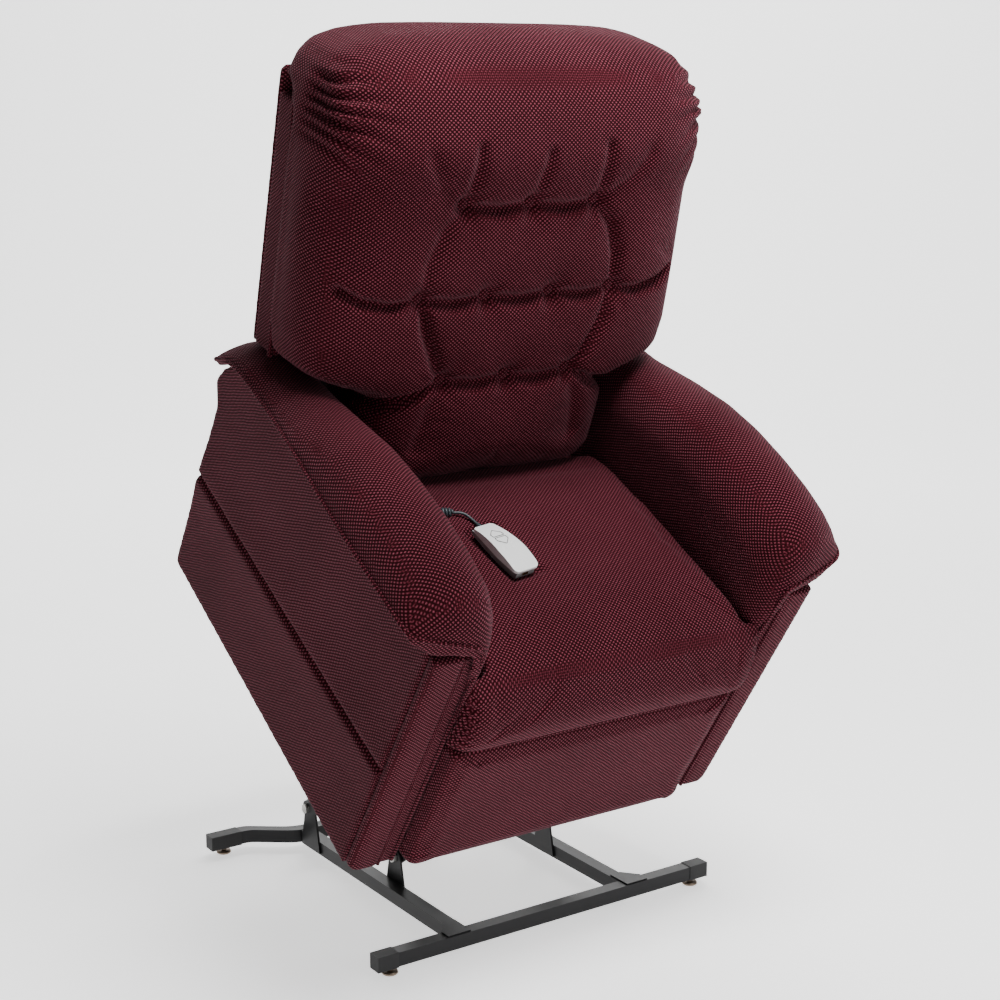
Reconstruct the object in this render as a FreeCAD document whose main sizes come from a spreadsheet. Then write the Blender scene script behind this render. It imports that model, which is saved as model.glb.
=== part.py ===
"""Powered lift recliner chair, built from its floor frame up to its handset.

Units are millimetres.  The row frame has +Z up, the chair faces -Y, and +X is the left hand
of a person who sits in it.  The origin is on the floor under the middle of the raised chair.

Everything above the lift links is designed in the seated position, with the seat level and
the body just off the floor.  `raised` then turns it about the pole of the lift to the fully
raised position, which is the position the model is stored in.
"""
import FreeCAD, Part

import math
import os

from FreeCAD import Placement, Rotation, Vector

doc = FreeCAD.newDocument("LiftRecliner")
sheet = doc.addObject("Spreadsheet::Sheet", "Sizes")

SIZES = [
    ("tube", 25, "outer side of the square steel tube"),
    ("wall", 2, "wall of the square steel tube"),
    ("plate", 5, "thickness of links and lift plates"),
    ("thin_plate", 4, "thickness of welded brackets"),
    ("tube_level", 26.5, "height of the base tubes' centre line"),
    ("base_half_width", 351, "middle to the end of a rail cap"),
    ("front_rail_y", -158, "centre line of the front rail"),
    ("rear_rail_y", 396, "centre line of the rear rail's middle"),
    ("rear_end_y", 455.5, "centre line of the rear rail's ends"),
    ("side_tube_x", 178, "centre line of a side tube"),
    ("cap_side", 27, "outer side of a rail cap"),
    ("front_cap", 40, "length of a front rail cap"),
    ("rear_cap", 62, "length of a rear rail cap"),
    ("glide_inset", 30, "rail end to the centre of a glide"),
    ("lift_angle", 32.64, "turn of the body from seated to raised, degrees"),
    ("pole_y", -374.1, "pole of the lift turn, along Y"),
    ("pole_z", 209.6, "pole of the lift turn, height"),
    ("centring", -27.8, "move along Y that centres the raised chair over the origin"),
    ("bolt", 10, "shank of a pivot bolt"),
    ("running_gap", 0.05, "radial clearance of a bolt in its link"),
    ("link_width", 30, "width of a lift link"),
    ("rear_link_hole", 17, "upper hole of a rear link, which has play"),
    ("front_link_x", 155, "inner face of a front link"),
    ("rear_link_x", 196, "inner face of a rear link"),
    ("rail_x", 208, "inner face of a body side rail"),
    ("rail_z", 300, "underside of the body side rails"),
    ("cushion_half", 258, "half width of the seat between the arms"),
    ("lip_half", 300, "half width of the seat's front lip"),
    ("arm_inner", 262, "middle to the inner face of an arm"),
    ("arm_front_inner", 290, "middle to an arm's front panel"),
    ("arm_outer", 379, "middle to the outer face of an arm"),
    ("pad_outer", 434, "middle to the outer edge of an arm pad"),
    ("board", 18, "thickness of an upholstered board"),
    ("post", 22, "thickness of a frame board"),
    ("back_tilt", 17.4, "lean of the backrest, degrees"),
    ("back_half", 358, "half width of the backrest over the arms"),
    ("back_low_half", 254, "half width of the backrest between the arms"),
    ("back_top", 690, "height of the back cushion along the backrest"),
    ("back_deep", 265, "rear face to the front of the back cushion"),
    ("strip_deep", 83, "depth of the backrest's side strips"),
    ("wing_low", 130, "lower end of the backrest's wings"),
    ("legrest_half", 281, "half width of the legrest pad"),
    ("rod", 20, "diameter of the actuator rod"),
    ("cord", 5, "diameter of the handset cord"),
    ("coil", 13, "outer diameter of the curly cord"),
    ("button_gap", 0.4, "gap around a handset button"),
]
for row, (alias, amount, meaning) in enumerate(SIZES, start=1):
    sheet.set(f"A{row}", meaning)
    sheet.set(f"B{row}", str(amount))
    sheet.setAlias(f"B{row}", alias)
doc.recompute()


def size(alias):
    """Read one driving size from the sheet."""
    return float(sheet.get(alias))


# ---------------------------------------------------------------- positions

centred = Placement(Vector(0, size("centring"), 0), Rotation())
pole = Vector(0, size("pole_y"), size("pole_z"))
raised = Placement(Vector(0, 0, 0), Rotation(Vector(1, 0, 0), size("lift_angle")), pole)
BACK_FOOT = Vector(0, 516, 450)
on_back = raised * Placement(BACK_FOOT, Rotation(Vector(1, 0, 0), -size("back_tilt")))

# Pivots: those of the base in the row frame, those of the body in the seated position.
FRONT_BASE_PIVOT = Vector(0, 82, 85)
REAR_BASE_PIVOT = Vector(0, 342, 100)
FRONT_BODY_PIVOT = Vector(0, -139.1, 65)
REAR_BODY_PIVOT = Vector(0, -64.3, 65)
MOTOR_PIVOT = Vector(0, 312, 60)
ROD_PIVOT = Vector(0, -38, 180)
LEGREST_PIVOT = Vector(0, -83, 315)
LEGREST_ELBOW = Vector(0, -23, 130)
OTTOMAN_PIVOT = Vector(0, -140, 235)
BACK_HINGE = Vector(0, 462, 370)

nodes = {}


def keep(node, label, place=None):
    """Name a finished sub-part after its node and put it where it belongs."""
    node.Label = label
    node.Placement = centred * (place or node.Placement)
    nodes[label] = node
    return node


def bind(item, **settings):
    """Set properties, the text ones as expressions on the sheet."""
    for name, setting in settings.items():
        if isinstance(setting, str):
            item.setExpression(name, setting)
        else:
            setattr(item, name, setting)


def block(name, length, width, height, x, y, z):
    """A box by its three sides and its lowest corner; text is an expression."""
    item = doc.addObject("Part::Box", name)
    bind(item, Length=length, Width=width, Height=height)
    for axis, setting in (("x", x), ("y", y), ("z", z)):
        item.setExpression(f"Placement.Base.{axis}", str(setting))
    return item


def cylinder(name, diameter, length, start, direction):
    """A round bar from a point along a direction."""
    item = doc.addObject("Part::Cylinder", name)
    item.setExpression("Radius", f"({diameter}) / 2")
    item.setExpression("Height", str(length))
    item.Placement = Placement(start, Rotation(Vector(0, 0, 1), direction))
    return item


def group(name, items):
    """Separate solids that share one node."""
    item = doc.addObject("Part::Compound", name)
    item.Links = items
    return item


def fuse(name, items):
    item = doc.addObject("Part::MultiFuse", name)
    item.Shapes = items
    return item


def cut(name, base, tool):
    item = doc.addObject("Part::Cut", name)
    item.Base, item.Tool = base, tool
    return item


def round_rail(corners):
    """Edges of a closed outline; each corner is (u, v) or (u, v, radius)."""
    edges, ends = [], []
    count = len(corners)
    for index, corner in enumerate(corners):
        here = Vector(corner[0], corner[1])
        radius = corner[2] if len(corner) > 2 else 0
        if not radius:
            ends.append((here, None, here))
            continue
        to_last = (Vector(*corners[index - 1][:2]) - here).normalize()
        to_next = (Vector(*corners[(index + 1) % count][:2]) - here).normalize()
        half = to_last.getAngle(to_next) / 2
        reach = radius / math.tan(half)
        bisector = (to_last + to_next).normalize()
        middle = here + bisector * (radius / math.sin(half) - radius)
        ends.append((here + to_last * reach, middle, here + to_next * reach))
    for index, (start, middle, end) in enumerate(ends):
        if middle is not None:
            edges.append(Part.Arc(start, middle, end))
        following = ends[(index + 1) % count][0]
        if (following - end).Length > 1e-6:
            edges.append(Part.LineSegment(end, following))
    return edges


def drawing(body, name, role, offset, edges, holes=()):
    """A sketch on one of a body's own planes, with an outline and round holes."""
    sketch = body.newObject("Sketcher::SketchObject", name)
    plane = next(f for f in body.Origin.OriginFeatures if f.Role == role)
    sketch.AttachmentSupport = [(plane, "")]
    sketch.MapMode = "FlatFace"
    sketch.AttachmentOffset = Placement(Vector(0, 0, offset), Rotation())
    for edge in edges:
        sketch.addGeometry(edge, False)
    for u, v, diameter in holes:
        sketch.addGeometry(Part.Circle(Vector(u, v), Vector(0, 0, 1), diameter / 2), False)
    return sketch


def padded(name, role, offset, thickness, edges, holes=(), midplane=False):
    """A flat piece: an outline on a plane, made thick along the plane's normal."""
    body = doc.addObject("PartDesign::Body", name)
    sketch = drawing(body, name + "Outline", role, offset, edges, holes)
    pad = body.newObject("PartDesign::Pad", name + "Pad")
    pad.Profile = sketch
    pad.Midplane = midplane
    bind(pad, Length=thickness)
    sketch.Visibility = False
    return body


def rounded(body, radius, pick):
    """Fillet the edges of a body's tip that `pick` accepts."""
    doc.recompute()
    plain = body.Tip
    names = [f"Edge{i}" for i, edge in enumerate(plain.Shape.Edges, start=1) if pick(edge)]
    fillet = body.newObject("PartDesign::Fillet", body.Name + "Fillet")
    fillet.Base = (plain, names)
    fillet.Radius = radius
    return body


def link_edges(start, end, width):
    """Outline of a bar with round ends between two pivots, in the YZ plane."""
    first, last = Vector(start.y, start.z), Vector(end.y, end.z)
    along = (last - first).normalize()
    side = Vector(-along.y, along.x) * (width / 2)
    cap = along * (width / 2)
    return [
        Part.LineSegment(first + side, last + side),
        Part.Arc(last + side, last + cap, last - side),
        Part.LineSegment(last - side, first - side),
        Part.Arc(first - side, first - cap, first + side),
    ]


def at_x(name, x, thickness, edges, holes=()):
    """A plate whose lower X face is at x."""
    return padded(name, "YZ_Plane", x, thickness, edges, holes)


def low_x(sign, inner, wide):
    """Lowest X of a piece that runs outward from `inner` on the left (1) or the right (-1)."""
    return inner if sign > 0 else -inner - wide


def both_sides(name, inner, thickness, edges, holes=()):
    """The same plate on both sides of the chair, `inner` from the middle."""
    return [
        at_x(name + "Left", inner, thickness, edges, holes),
        at_x(name + "Right", -inner - size(thickness.split(".")[1]), thickness, edges, holes),
    ]


def running_hole(pivot):
    return (pivot.y, pivot.z, size("bolt") + 2 * size("running_gap"))


HEX_RADIUS, HEAD_DEPTH, NUT_DEPTH = 9.5, 6, 7


def hexagon(name, pivot, x, depth, direction):
    """A bolt head or a nut: its near face at x, its depth along the direction."""
    item = doc.addObject("Part::Prism", name)
    item.Polygon = 6
    item.Circumradius = HEX_RADIUS
    item.Height = depth
    item.Placement = Placement(Vector(x, pivot.y, pivot.z),
                               Rotation(Vector(0, 0, 1), Vector(direction, 0, 0)))
    return item


def bolt_at(name, pivot, first, last, nut=True):
    """A pivot bolt along X: its head outside `first`, its nut outside `last`."""
    direction = 1 if last > first else -1
    start = Vector(first, pivot.y, pivot.z)
    items = [hexagon(name + "Head", pivot, first, HEAD_DEPTH, -direction),
             cylinder(name + "Shank", "Sizes.bolt", abs(last - first), start,
                      Vector(direction, 0, 0))]
    if nut:
        items.append(hexagon(name + "Nut", pivot, last, NUT_DEPTH, direction))
    return fuse(name, items)


def mirrored_bolts(name, pivot, first, last, nut=True):
    """One bolt on each side of the chair."""
    return [bolt_at(name + "Left", pivot, first, last, nut),
            bolt_at(name + "Right", pivot, -first, -last, nut)]


# ---------------------------------------------------------------- floor frame

def square_tube(name, length, x, y, z, along):
    """Straight square tube along X or Y, open at both ends."""
    inside = "Sizes.tube - 2 * Sizes.wall"
    inset_y, inset_z = f"({y}) + Sizes.wall", f"({z}) + Sizes.wall"
    if along == "x":
        outer = block(name + "Outer", length, "Sizes.tube", "Sizes.tube", x, y, z)
        bore = block(name + "Bore", length, inside, inside, x, inset_y, inset_z)
    else:
        outer = block(name + "Outer", "Sizes.tube", length, "Sizes.tube", x, y, z)
        bore = block(name + "Bore", inside, length, inside, f"({x}) + Sizes.wall", y, inset_z)
    return cut(name, outer, bore)


LOW = "Sizes.tube_level - Sizes.tube / 2"
RAIL_END = "(Sizes.base_half_width - 1)"
keep(square_tube("FrontRail", f"2 * {RAIL_END}", f"-{RAIL_END}",
                 "Sizes.front_rail_y - Sizes.tube / 2", LOW, "x"), "base_front_rail")

side_tubes = []
for side, sign in (("Left", 1), ("Right", -1)):
    side_tubes.append(square_tube(
        "SideTube" + side, "Sizes.rear_rail_y - Sizes.front_rail_y - Sizes.tube",
        f"{sign} * Sizes.side_tube_x - Sizes.tube / 2",
        "Sizes.front_rail_y + Sizes.tube / 2", LOW, "y"))
keep(group("SideTubes", side_tubes), "base_side_tubes")


def rear_rail_edges(half):
    """Plan of the rear rail: straight middle, ends swept back, in one outline."""
    end, turn_in, turn_out = size("base_half_width") - 1, 192, 272
    middle_y, end_y = size("rear_rail_y"), size("rear_end_y")
    front = [(-end, end_y - half), (-turn_out, end_y - half, 40), (-turn_in, middle_y - half, 90),
             (turn_in, middle_y - half, 90), (turn_out, end_y - half, 40), (end, end_y - half)]
    rear = [(x, y + 2 * half, *radius) for x, y, *radius in reversed(front)]
    return round_rail(front + rear)


outer_rail = padded("RearRailOuter", "XY_Plane", size("tube_level") - size("tube") / 2,
                    "Sizes.tube", rear_rail_edges(size("tube") / 2))
hollow = size("tube") / 2 - size("wall")
bore_rail = padded("RearRailBore", "XY_Plane", size("tube_level") - hollow,
                   "Sizes.tube - 2 * Sizes.wall", rear_rail_edges(hollow))
keep(cut("RearRail", outer_rail, bore_rail), "base_rear_rail")

caps, glides = [], []
for rail, rail_y, cap_length in (("Front", "Sizes.front_rail_y", "Sizes.front_cap"),
                                 ("Rear", "Sizes.rear_end_y", "Sizes.rear_cap")):
    for side, sign in (("Left", 1), ("Right", -1)):
        name = rail + side
        cap_x = f"Sizes.base_half_width - {cap_length}" if sign > 0 else "-Sizes.base_half_width"
        shell = block("Cap" + name, cap_length, "Sizes.cap_side", "Sizes.cap_side", cap_x,
                      f"{rail_y} - Sizes.cap_side / 2", "Sizes.tube_level - Sizes.cap_side / 2")
        mouth = block("CapMouth" + name, f"{cap_length} - 1", "Sizes.tube", "Sizes.tube",
                      cap_x if sign > 0 else f"({cap_x}) + 1",
                      f"{rail_y} - Sizes.tube / 2", LOW)
        caps.append(cut("CapShell" + name, shell, mouth))
        turn = doc.addObject("PartDesign::Body", "Glide" + name)
        profile = [(0, 0), (12, 0), (14, 2), (14, 4), (12.5, 6), (5, 6.5), (5, 12.9), (0, 12.9)]
        outline = drawing(turn, "GlideProfile" + name, "XZ_Plane", 0, round_rail(profile))
        spin = turn.newObject("PartDesign::Revolution", "GlideTurn" + name)
        spin.Profile = outline
        spin.ReferenceAxis = (outline, ["V_Axis"])
        spin.Angle = 360
        glide_x = sign * (size("base_half_width") - size("glide_inset"))
        turn.Placement = Placement(Vector(glide_x, size(rail_y.split(".")[1]), 0), Rotation())
        glides.append(turn)
keep(group("EndCaps", caps), "rail_end_caps")
keep(group("Glides", glides), "floor_glides")

gussets = []
for side, sign in (("Left", 1), ("Right", -1)):
    corner_x = sign * (size("side_tube_x") + size("tube") / 2)
    corner_y = size("front_rail_y") - size("tube") / 2
    plan = [(corner_x + sign * 22, corner_y + 2), (corner_x - sign * 23, corner_y + 2),
            (corner_x - sign * 23, corner_y + 52), (corner_x - sign * 2, corner_y + 52),
            (corner_x + sign * 22, corner_y + 24)]
    gussets.append(padded("Gusset" + side, "XY_Plane", size("tube_level") + size("tube") / 2, 2.5,
                          round_rail(plan)))
keep(group("Gussets", gussets), "base_corner_gussets")


def bracket_edges(pivot, half, foot):
    """An upright lug: a flat foot and a round head about its pivot."""
    return round_rail([(pivot.y - half, foot), (pivot.y + half, foot),
                       (pivot.y + 15, pivot.z + 15, 14), (pivot.y - 15, pivot.z + 15, 14)])


inner_face = size("side_tube_x") - size("tube") / 2
outer_face = size("side_tube_x") + size("tube") / 2
lugs = both_sides("FrontLug", inner_face - size("thin_plate"), "Sizes.thin_plate",
                  bracket_edges(FRONT_BASE_PIVOT, 32, 18), [running_hole(FRONT_BASE_PIVOT)])
lugs += both_sides("RearLug", outer_face, "Sizes.thin_plate",
                   bracket_edges(REAR_BASE_PIVOT, 34, 18), [running_hole(REAR_BASE_PIVOT)])
keep(group("BaseLugs", lugs), "base_link_brackets")

clevis_edges = round_rail([(383.5, 14.5), (383.5, 38.5), (MOTOR_PIVOT.y + 6, 76, 12),
                           (MOTOR_PIVOT.y - 15, 76, 12), (MOTOR_PIVOT.y - 15, 44, 12),
                           (MOTOR_PIVOT.y + 30, 14.5)])
keep(group("MotorClevis", both_sides("ClevisEar", 16, "Sizes.plate", clevis_edges,
                                     [running_hole(MOTOR_PIVOT)])), "actuator_base_clevis")

link_in, link_out = size("front_link_x"), size("front_link_x") + size("plate")
rear_in, rear_out = size("rear_link_x"), size("rear_link_x") + size("plate")
bolts = mirrored_bolts("FrontBaseBolt", FRONT_BASE_PIVOT, link_in - 0.2, inner_face + 0.2)
bolts += mirrored_bolts("RearBaseBolt", REAR_BASE_PIVOT, rear_out + 0.2, outer_face - 0.2)
motor_pin = cylinder("MotorPin", "Sizes.bolt", 50, Vector(-25, MOTOR_PIVOT.y, MOTOR_PIVOT.z),
                     Vector(1, 0, 0))
keep(group("BaseBolts", bolts + [motor_pin]), "base_pivot_bolts")

# ---------------------------------------------------------------- lift links

front_top = raised.multVec(FRONT_BODY_PIVOT)
rear_top = raised.multVec(REAR_BODY_PIVOT)
front_edges = link_edges(FRONT_BASE_PIVOT, front_top, size("link_width"))
keep(group("FrontLinks", both_sides("FrontLink", link_in, "Sizes.plate", front_edges,
                                    [running_hole(FRONT_BASE_PIVOT), running_hole(front_top)])),
     "front_lift_links")
torque_centre = FRONT_BASE_PIVOT + (front_top - FRONT_BASE_PIVOT) * 0.45
keep(cylinder("TorqueTube", 22, f"2 * {link_in}",
              Vector(-link_in, torque_centre.y, torque_centre.z), Vector(1, 0, 0)),
     "front_link_torque_tube")

rear_edges = link_edges(REAR_BASE_PIVOT, rear_top, size("link_width"))
loose_hole = (rear_top.y, rear_top.z, size("rear_link_hole"))
keep(group("RearLinks", both_sides("RearLink", rear_in, "Sizes.plate", rear_edges,
                                   [running_hole(REAR_BASE_PIVOT), loose_hole])),
     "rear_lift_links")

# ---------------------------------------------------------------- body subframe

RAIL_FRONT, RAIL_REAR = -125, 420
rails = [square_tube("BodyRailLeft", RAIL_REAR - RAIL_FRONT, "Sizes.rail_x", RAIL_FRONT,
                     "Sizes.rail_z", "y"),
         square_tube("BodyRailRight", RAIL_REAR - RAIL_FRONT, "-Sizes.rail_x - Sizes.tube",
                     RAIL_FRONT, "Sizes.rail_z", "y")]
keep(group("BodyRails", rails), "body_side_rails", raised)

PUSH_TUBE = Vector(0, -76, 194)
tubes = [square_tube("FrontTube", "2 * Sizes.rail_x", "-Sizes.rail_x", RAIL_FRONT,
                     "Sizes.rail_z", "x"),
         square_tube("RearTube", "2 * Sizes.rail_x", "-Sizes.rail_x",
                     RAIL_REAR - size("tube"), "Sizes.rail_z", "x"),
         square_tube("PushTube", "2 * 148", "-148", PUSH_TUBE.y - size("tube") / 2,
                     PUSH_TUBE.z - size("tube") / 2, "x")]
keep(group("CrossTubes", tubes), "body_cross_tubes", raised)

inner_plate = round_rail([(-154.5, 50, 14), (-121, 50, 14), (-60, 175, 10), (-60, 215, 10),
                          (-98, 300), (-127, 300), (-154.5, 90, 20)])
outer_plate = round_rail([(-82, 50, 14), (-46, 50, 14), (-30, 325), (-95, 325), (-82, 200, 40)])
plates = both_sides("InnerLiftPlate", 148, "Sizes.plate", inner_plate,
                    [running_hole(FRONT_BODY_PIVOT)])
plates += both_sides("OuterLiftPlate", 203, "Sizes.plate", outer_plate,
                     [running_hole(REAR_BODY_PIVOT)])
keep(group("LiftPlates", plates), "lift_plates", raised)

ear_edges = round_rail([(PUSH_TUBE.y + 12.5, 181.5), (ROD_PIVOT.y + 4, 160, 12),
                        (ROD_PIVOT.y + 18, 172, 12), (ROD_PIVOT.y + 16, 198, 12),
                        (PUSH_TUBE.y + 12.5, 206.5)])
EAR_IN = size("rod") / 2 + 0.6
EAR_OUT = EAR_IN + size("thin_plate")
keep(group("RodEars", both_sides("RodEar", EAR_IN, "Sizes.thin_plate", ear_edges,
                                 [running_hole(ROD_PIVOT)])), "actuator_rod_bracket", raised)

body_bolts = mirrored_bolts("FrontBodyBolt", FRONT_BODY_PIVOT, link_out + 0.2, 147.8)
body_bolts += mirrored_bolts("RearBodyBolt", REAR_BODY_PIVOT, rear_in - 0.2, 208.2)
# The rod's eye is the lift linkage's open pivot, so its bolt stops at the two ears.
body_bolts += [hexagon("RodBoltHead", ROD_PIVOT, -EAR_OUT, HEAD_DEPTH, -1),
               hexagon("RodBoltNut", ROD_PIVOT, EAR_OUT, NUT_DEPTH, 1)]
keep(group("BodyBolts", body_bolts), "lift_pivot_bolts", raised)

# ---------------------------------------------------------------- recline mechanism on the body

rail_outer = size("rail_x") + size("tube")
side_plate = round_rail([(-112, 296, 6), (-54, 296, 6), (-54, 336, 6), (-112, 336, 6)])
side_plates = both_sides("LegrestPlate", rail_outer, "Sizes.thin_plate", side_plate)
side_plates += mirrored_bolts("LegrestStud", LEGREST_PIVOT, rail_outer + 10.2,
                              rail_outer + size("thin_plate"), nut=False)
keep(group("LegrestPlates", side_plates), "legrest_pivot_plates", raised)

hinge_edges = round_rail([(352, 300), (420, 300), (BACK_HINGE.y + 16, BACK_HINGE.z - 14, 14),
                          (BACK_HINGE.y + 16, BACK_HINGE.z + 16, 15),
                          (BACK_HINGE.y - 16, BACK_HINGE.z + 16, 15), (400, 325), (352, 325)])
keep(group("HingePlates", both_sides("HingePlate", rail_outer, "Sizes.plate", hinge_edges,
                                     [running_hole(BACK_HINGE)])), "back_hinge_brackets", raised)

# ---------------------------------------------------------------- seat

BOARD_LOW, BOARD_HIGH = 326, 366
SEAT_FRONT, SEAT_REAR = -128, 345
ARM_BOARD_X = 335
boards = [block("SeatSideLeft", "Sizes.tube", SEAT_REAR - SEAT_FRONT, BOARD_HIGH - BOARD_LOW,
                "Sizes.rail_x", SEAT_FRONT, BOARD_LOW),
          block("SeatSideRight", "Sizes.tube", SEAT_REAR - SEAT_FRONT, BOARD_HIGH - BOARD_LOW,
                "-Sizes.rail_x - Sizes.tube", SEAT_FRONT, BOARD_LOW)]
for name, low_y in (("SeatFront", SEAT_FRONT - size("post")), ("SeatRear", SEAT_REAR)):
    boards.append(block(name, 2 * ARM_BOARD_X, "Sizes.post", BOARD_HIGH - 2 - BOARD_LOW,
                        -ARM_BOARD_X, low_y, BOARD_LOW + 2))
keep(group("SeatBoards", boards), "seat_frame", raised)

SPRING_LEVEL, SPRING_RUNS, SPRING_REACH, SPRING_WIRE = 352, 13, 24, 4
springs = []
for number, middle in enumerate((-150, -75, 0, 75, 150)):
    pitch = (SEAT_REAR - SEAT_FRONT - SPRING_WIRE) / (SPRING_RUNS - 1)
    path = doc.addObject("Sketcher::SketchObject", f"SpringPath{number}")
    path.Placement = Placement(Vector(0, 0, SPRING_LEVEL), Rotation())
    hand = 1
    for run in range(SPRING_RUNS):
        y = SEAT_FRONT + SPRING_WIRE / 2 + run * pitch
        start, end = Vector(middle - hand * SPRING_REACH, y), Vector(middle + hand * SPRING_REACH, y)
        path.addGeometry(Part.LineSegment(start, end), False)
        if run < SPRING_RUNS - 1:
            bend = Vector(end.x + hand * pitch / 2, y + pitch / 2)
            path.addGeometry(Part.Arc(end, bend, Vector(end.x, y + pitch)), False)
        hand = -hand
    ring = doc.addObject("Sketcher::SketchObject", f"SpringWire{number}")
    ring.addGeometry(Part.Circle(Vector(0, 0), Vector(0, 0, 1), SPRING_WIRE / 2), False)
    ring.Placement = Placement(
        Vector(middle - SPRING_REACH, SEAT_FRONT + SPRING_WIRE / 2, SPRING_LEVEL),
        Rotation(Vector(0, 0, 1), Vector(1, 0, 0)))
    wire = doc.addObject("Part::Sweep", f"Spring{number}")
    wire.Sections = [ring]
    wire.Spine = (path, [])
    wire.Solid = True
    springs.append(wire)
keep(group("Springs", springs), "seat_springs", raised)

seat_side = round_rail([(-180, 368), (-180, 502, 14), (-142, 513, 60), (-23, 505, 200),
                        (132, 490, 300), (287, 454, 14), (287, 370, 14)])
seat_block = padded("SeatBlock", "YZ_Plane", 0, "2 * Sizes.cushion_half", seat_side, midplane=True)
lip_side = round_rail([(-178.6, 357, 5), (-206, 357, 18), (-225, 385, 22), (-225, 440, 40),
                       (-205, 500, 30), (-178.6, 507, 4)])
seat_lip = padded("SeatLip", "YZ_Plane", 0, "2 * Sizes.lip_half", lip_side, midplane=True)
keep(fuse("SeatCushion", [seat_block, seat_lip]), "seat_cushion", raised)

# ---------------------------------------------------------------- arms

arm_boards = []
for side, sign in (("Left", 1), ("Right", -1)):
    for name, low_y, high_y, low_z, high_z in (("Front", -158, -118, 60, 550),
                                               ("Rear", 505, 541, 60, 540),
                                               ("Bottom", -118, 505, 60, 100),
                                               ("Top", -118, 505, 505, 545)):
        arm_boards.append(block(f"Arm{name}{side}", "Sizes.post", high_y - low_y, high_z - low_z,
                                low_x(sign, ARM_BOARD_X, size("post")), low_y, low_z))
keep(group("ArmBoards", arm_boards), "arm_frames", raised)

ARM_LOW, PAD_LINE = 49, 556
side_edges = round_rail([(-160, ARM_LOW), (-160, PAD_LINE), (453, PAD_LINE), (531, 546),
                         (578, 492), (592, 457, 10), (567, 416, 40), (559, 45, 12)])
inner_edges = round_rail([(-158, 382), (-158, PAD_LINE), (453, PAD_LINE), (470, 540, 20),
                          (470, 382)])
for side, sign in (("left", 1), ("right", -1)):
    side_x = low_x(sign, size("arm_outer") - size("board"), size("board"))
    keep(at_x("Side" + side, side_x, "Sizes.board", side_edges), f"arm_side_panel_{side}", raised)
    x_in, x_out = sign * size("arm_front_inner"), sign * size("arm_outer")
    panel_face = round_rail([(x_in, ARM_LOW), (x_out, ARM_LOW, 18), (x_out, PAD_LINE),
                             (x_in, PAD_LINE)])
    keep(padded("Front" + side, "XZ_Plane", 160, "Sizes.board", panel_face),
         f"arm_front_panel_{side}", raised)

    pad_in, pad_out = size("arm_inner"), size("pad_outer")
    pad_edges = [
        Part.LineSegment(Vector(453, 558.5), Vector(-180, 558.5)),
        Part.Arc(Vector(-180, 558.5), Vector(-192, 600), Vector(-172, 645)),
        Part.Arc(Vector(-172, 645), Vector(-20, 686), Vector(150, 674)),
        Part.Arc(Vector(150, 674), Vector(290, 635), Vector(430, 603)),
        Part.Arc(Vector(430, 603), Vector(540, 563), Vector(600, 497)),
        Part.LineSegment(Vector(600, 497), Vector(585, 494)),
        Part.LineSegment(Vector(585, 494), Vector(532, 549)),
        Part.LineSegment(Vector(532, 549), Vector(453, 558.5)),
    ]
    pad_side = at_x("PadSide" + side, low_x(sign, pad_in, pad_out - pad_in), pad_out - pad_in, pad_edges)
    section = round_rail([(sign * pad_in, 480), (sign * (size("arm_outer") + 2), 480),
                          (sign * (size("arm_outer") + 2), 558.5), (sign * pad_out, 600, 6),
                          (sign * (pad_out - 4), 690, 70), (sign * (pad_in + 4), 690, 70)])
    pad_section = padded("PadSection" + side, "XZ_Plane", -620, 860, section)
    pad = doc.addObject("Part::Common", "Pad" + side)
    pad.Base, pad.Tool = pad_side, pad_section
    keep(pad, f"arm_pad_{side}", raised)

keep(group("InnerPanels", both_sides("InnerPanel", size("arm_inner"), "Sizes.board", inner_edges)),
     "arm_inner_panels", raised)

rear_panel = padded("RearPanel", "XZ_Plane", -557, 15,
                    round_rail([(-360.5, 60), (360.5, 60), (360.5, 392), (-360.5, 392)]))
keep(rear_panel, "rear_body_panel", raised)

supply_edges = round_rail([(-80, 240, 6), (80, 240, 6), (80, 300), (-80, 300)])
keep(padded("Supply", "XZ_Plane", -RAIL_REAR, 70, supply_edges), "power_supply", raised)
keep(padded("Inlet", "XZ_Plane", -RAIL_REAR - 10, 10,
            round_rail([(20, 258, 3), (48, 258, 3), (48, 278, 6), (20, 278, 6)])),
     "power_inlet", raised)

# ---------------------------------------------------------------- actuator

rod_raised = raised.multVec(ROD_PIVOT)
reach = (rod_raised - MOTOR_PIVOT).Length
lean = math.degrees(math.atan2(rod_raised.z - MOTOR_PIVOT.z, rod_raised.y - MOTOR_PIVOT.y))
on_motor = Placement(MOTOR_PIVOT, Rotation(Vector(1, 0, 0), lean))

# In its own frame the actuator lies along +Y, with the motor on its upper side (-Z).
ACROSS, ALONG = Vector(1, 0, 0), Vector(0, 1, 0)
TUBE_END, BORE_START = 325, 96
rear_eye = cylinder("MotorEye", 26, 30, Vector(-15, 0, 0), ACROSS)
neck = block("MotorNeck", 30, 30, 20, -15, 0, -10)
gearbox = padded("Gearbox", "YZ_Plane", 0, 54,
                 round_rail([(24, -78, 12), (84, -78, 12), (84, 24, 10), (24, 24, 10)]),
                 midplane=True)
motor_can = cylinder("MotorCan", 46, 120, Vector(0, 84, -52), ALONG)
motor_solid = fuse("MotorSolid", [rear_eye, neck, gearbox, motor_can])
eye_bore = cylinder("MotorEyeBore", "Sizes.bolt + 2 * Sizes.running_gap", 40, Vector(-20, 0, 0),
                    ACROSS)
keep(cut("MotorHousing", motor_solid, eye_bore), "motor_housing", on_motor)

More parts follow.
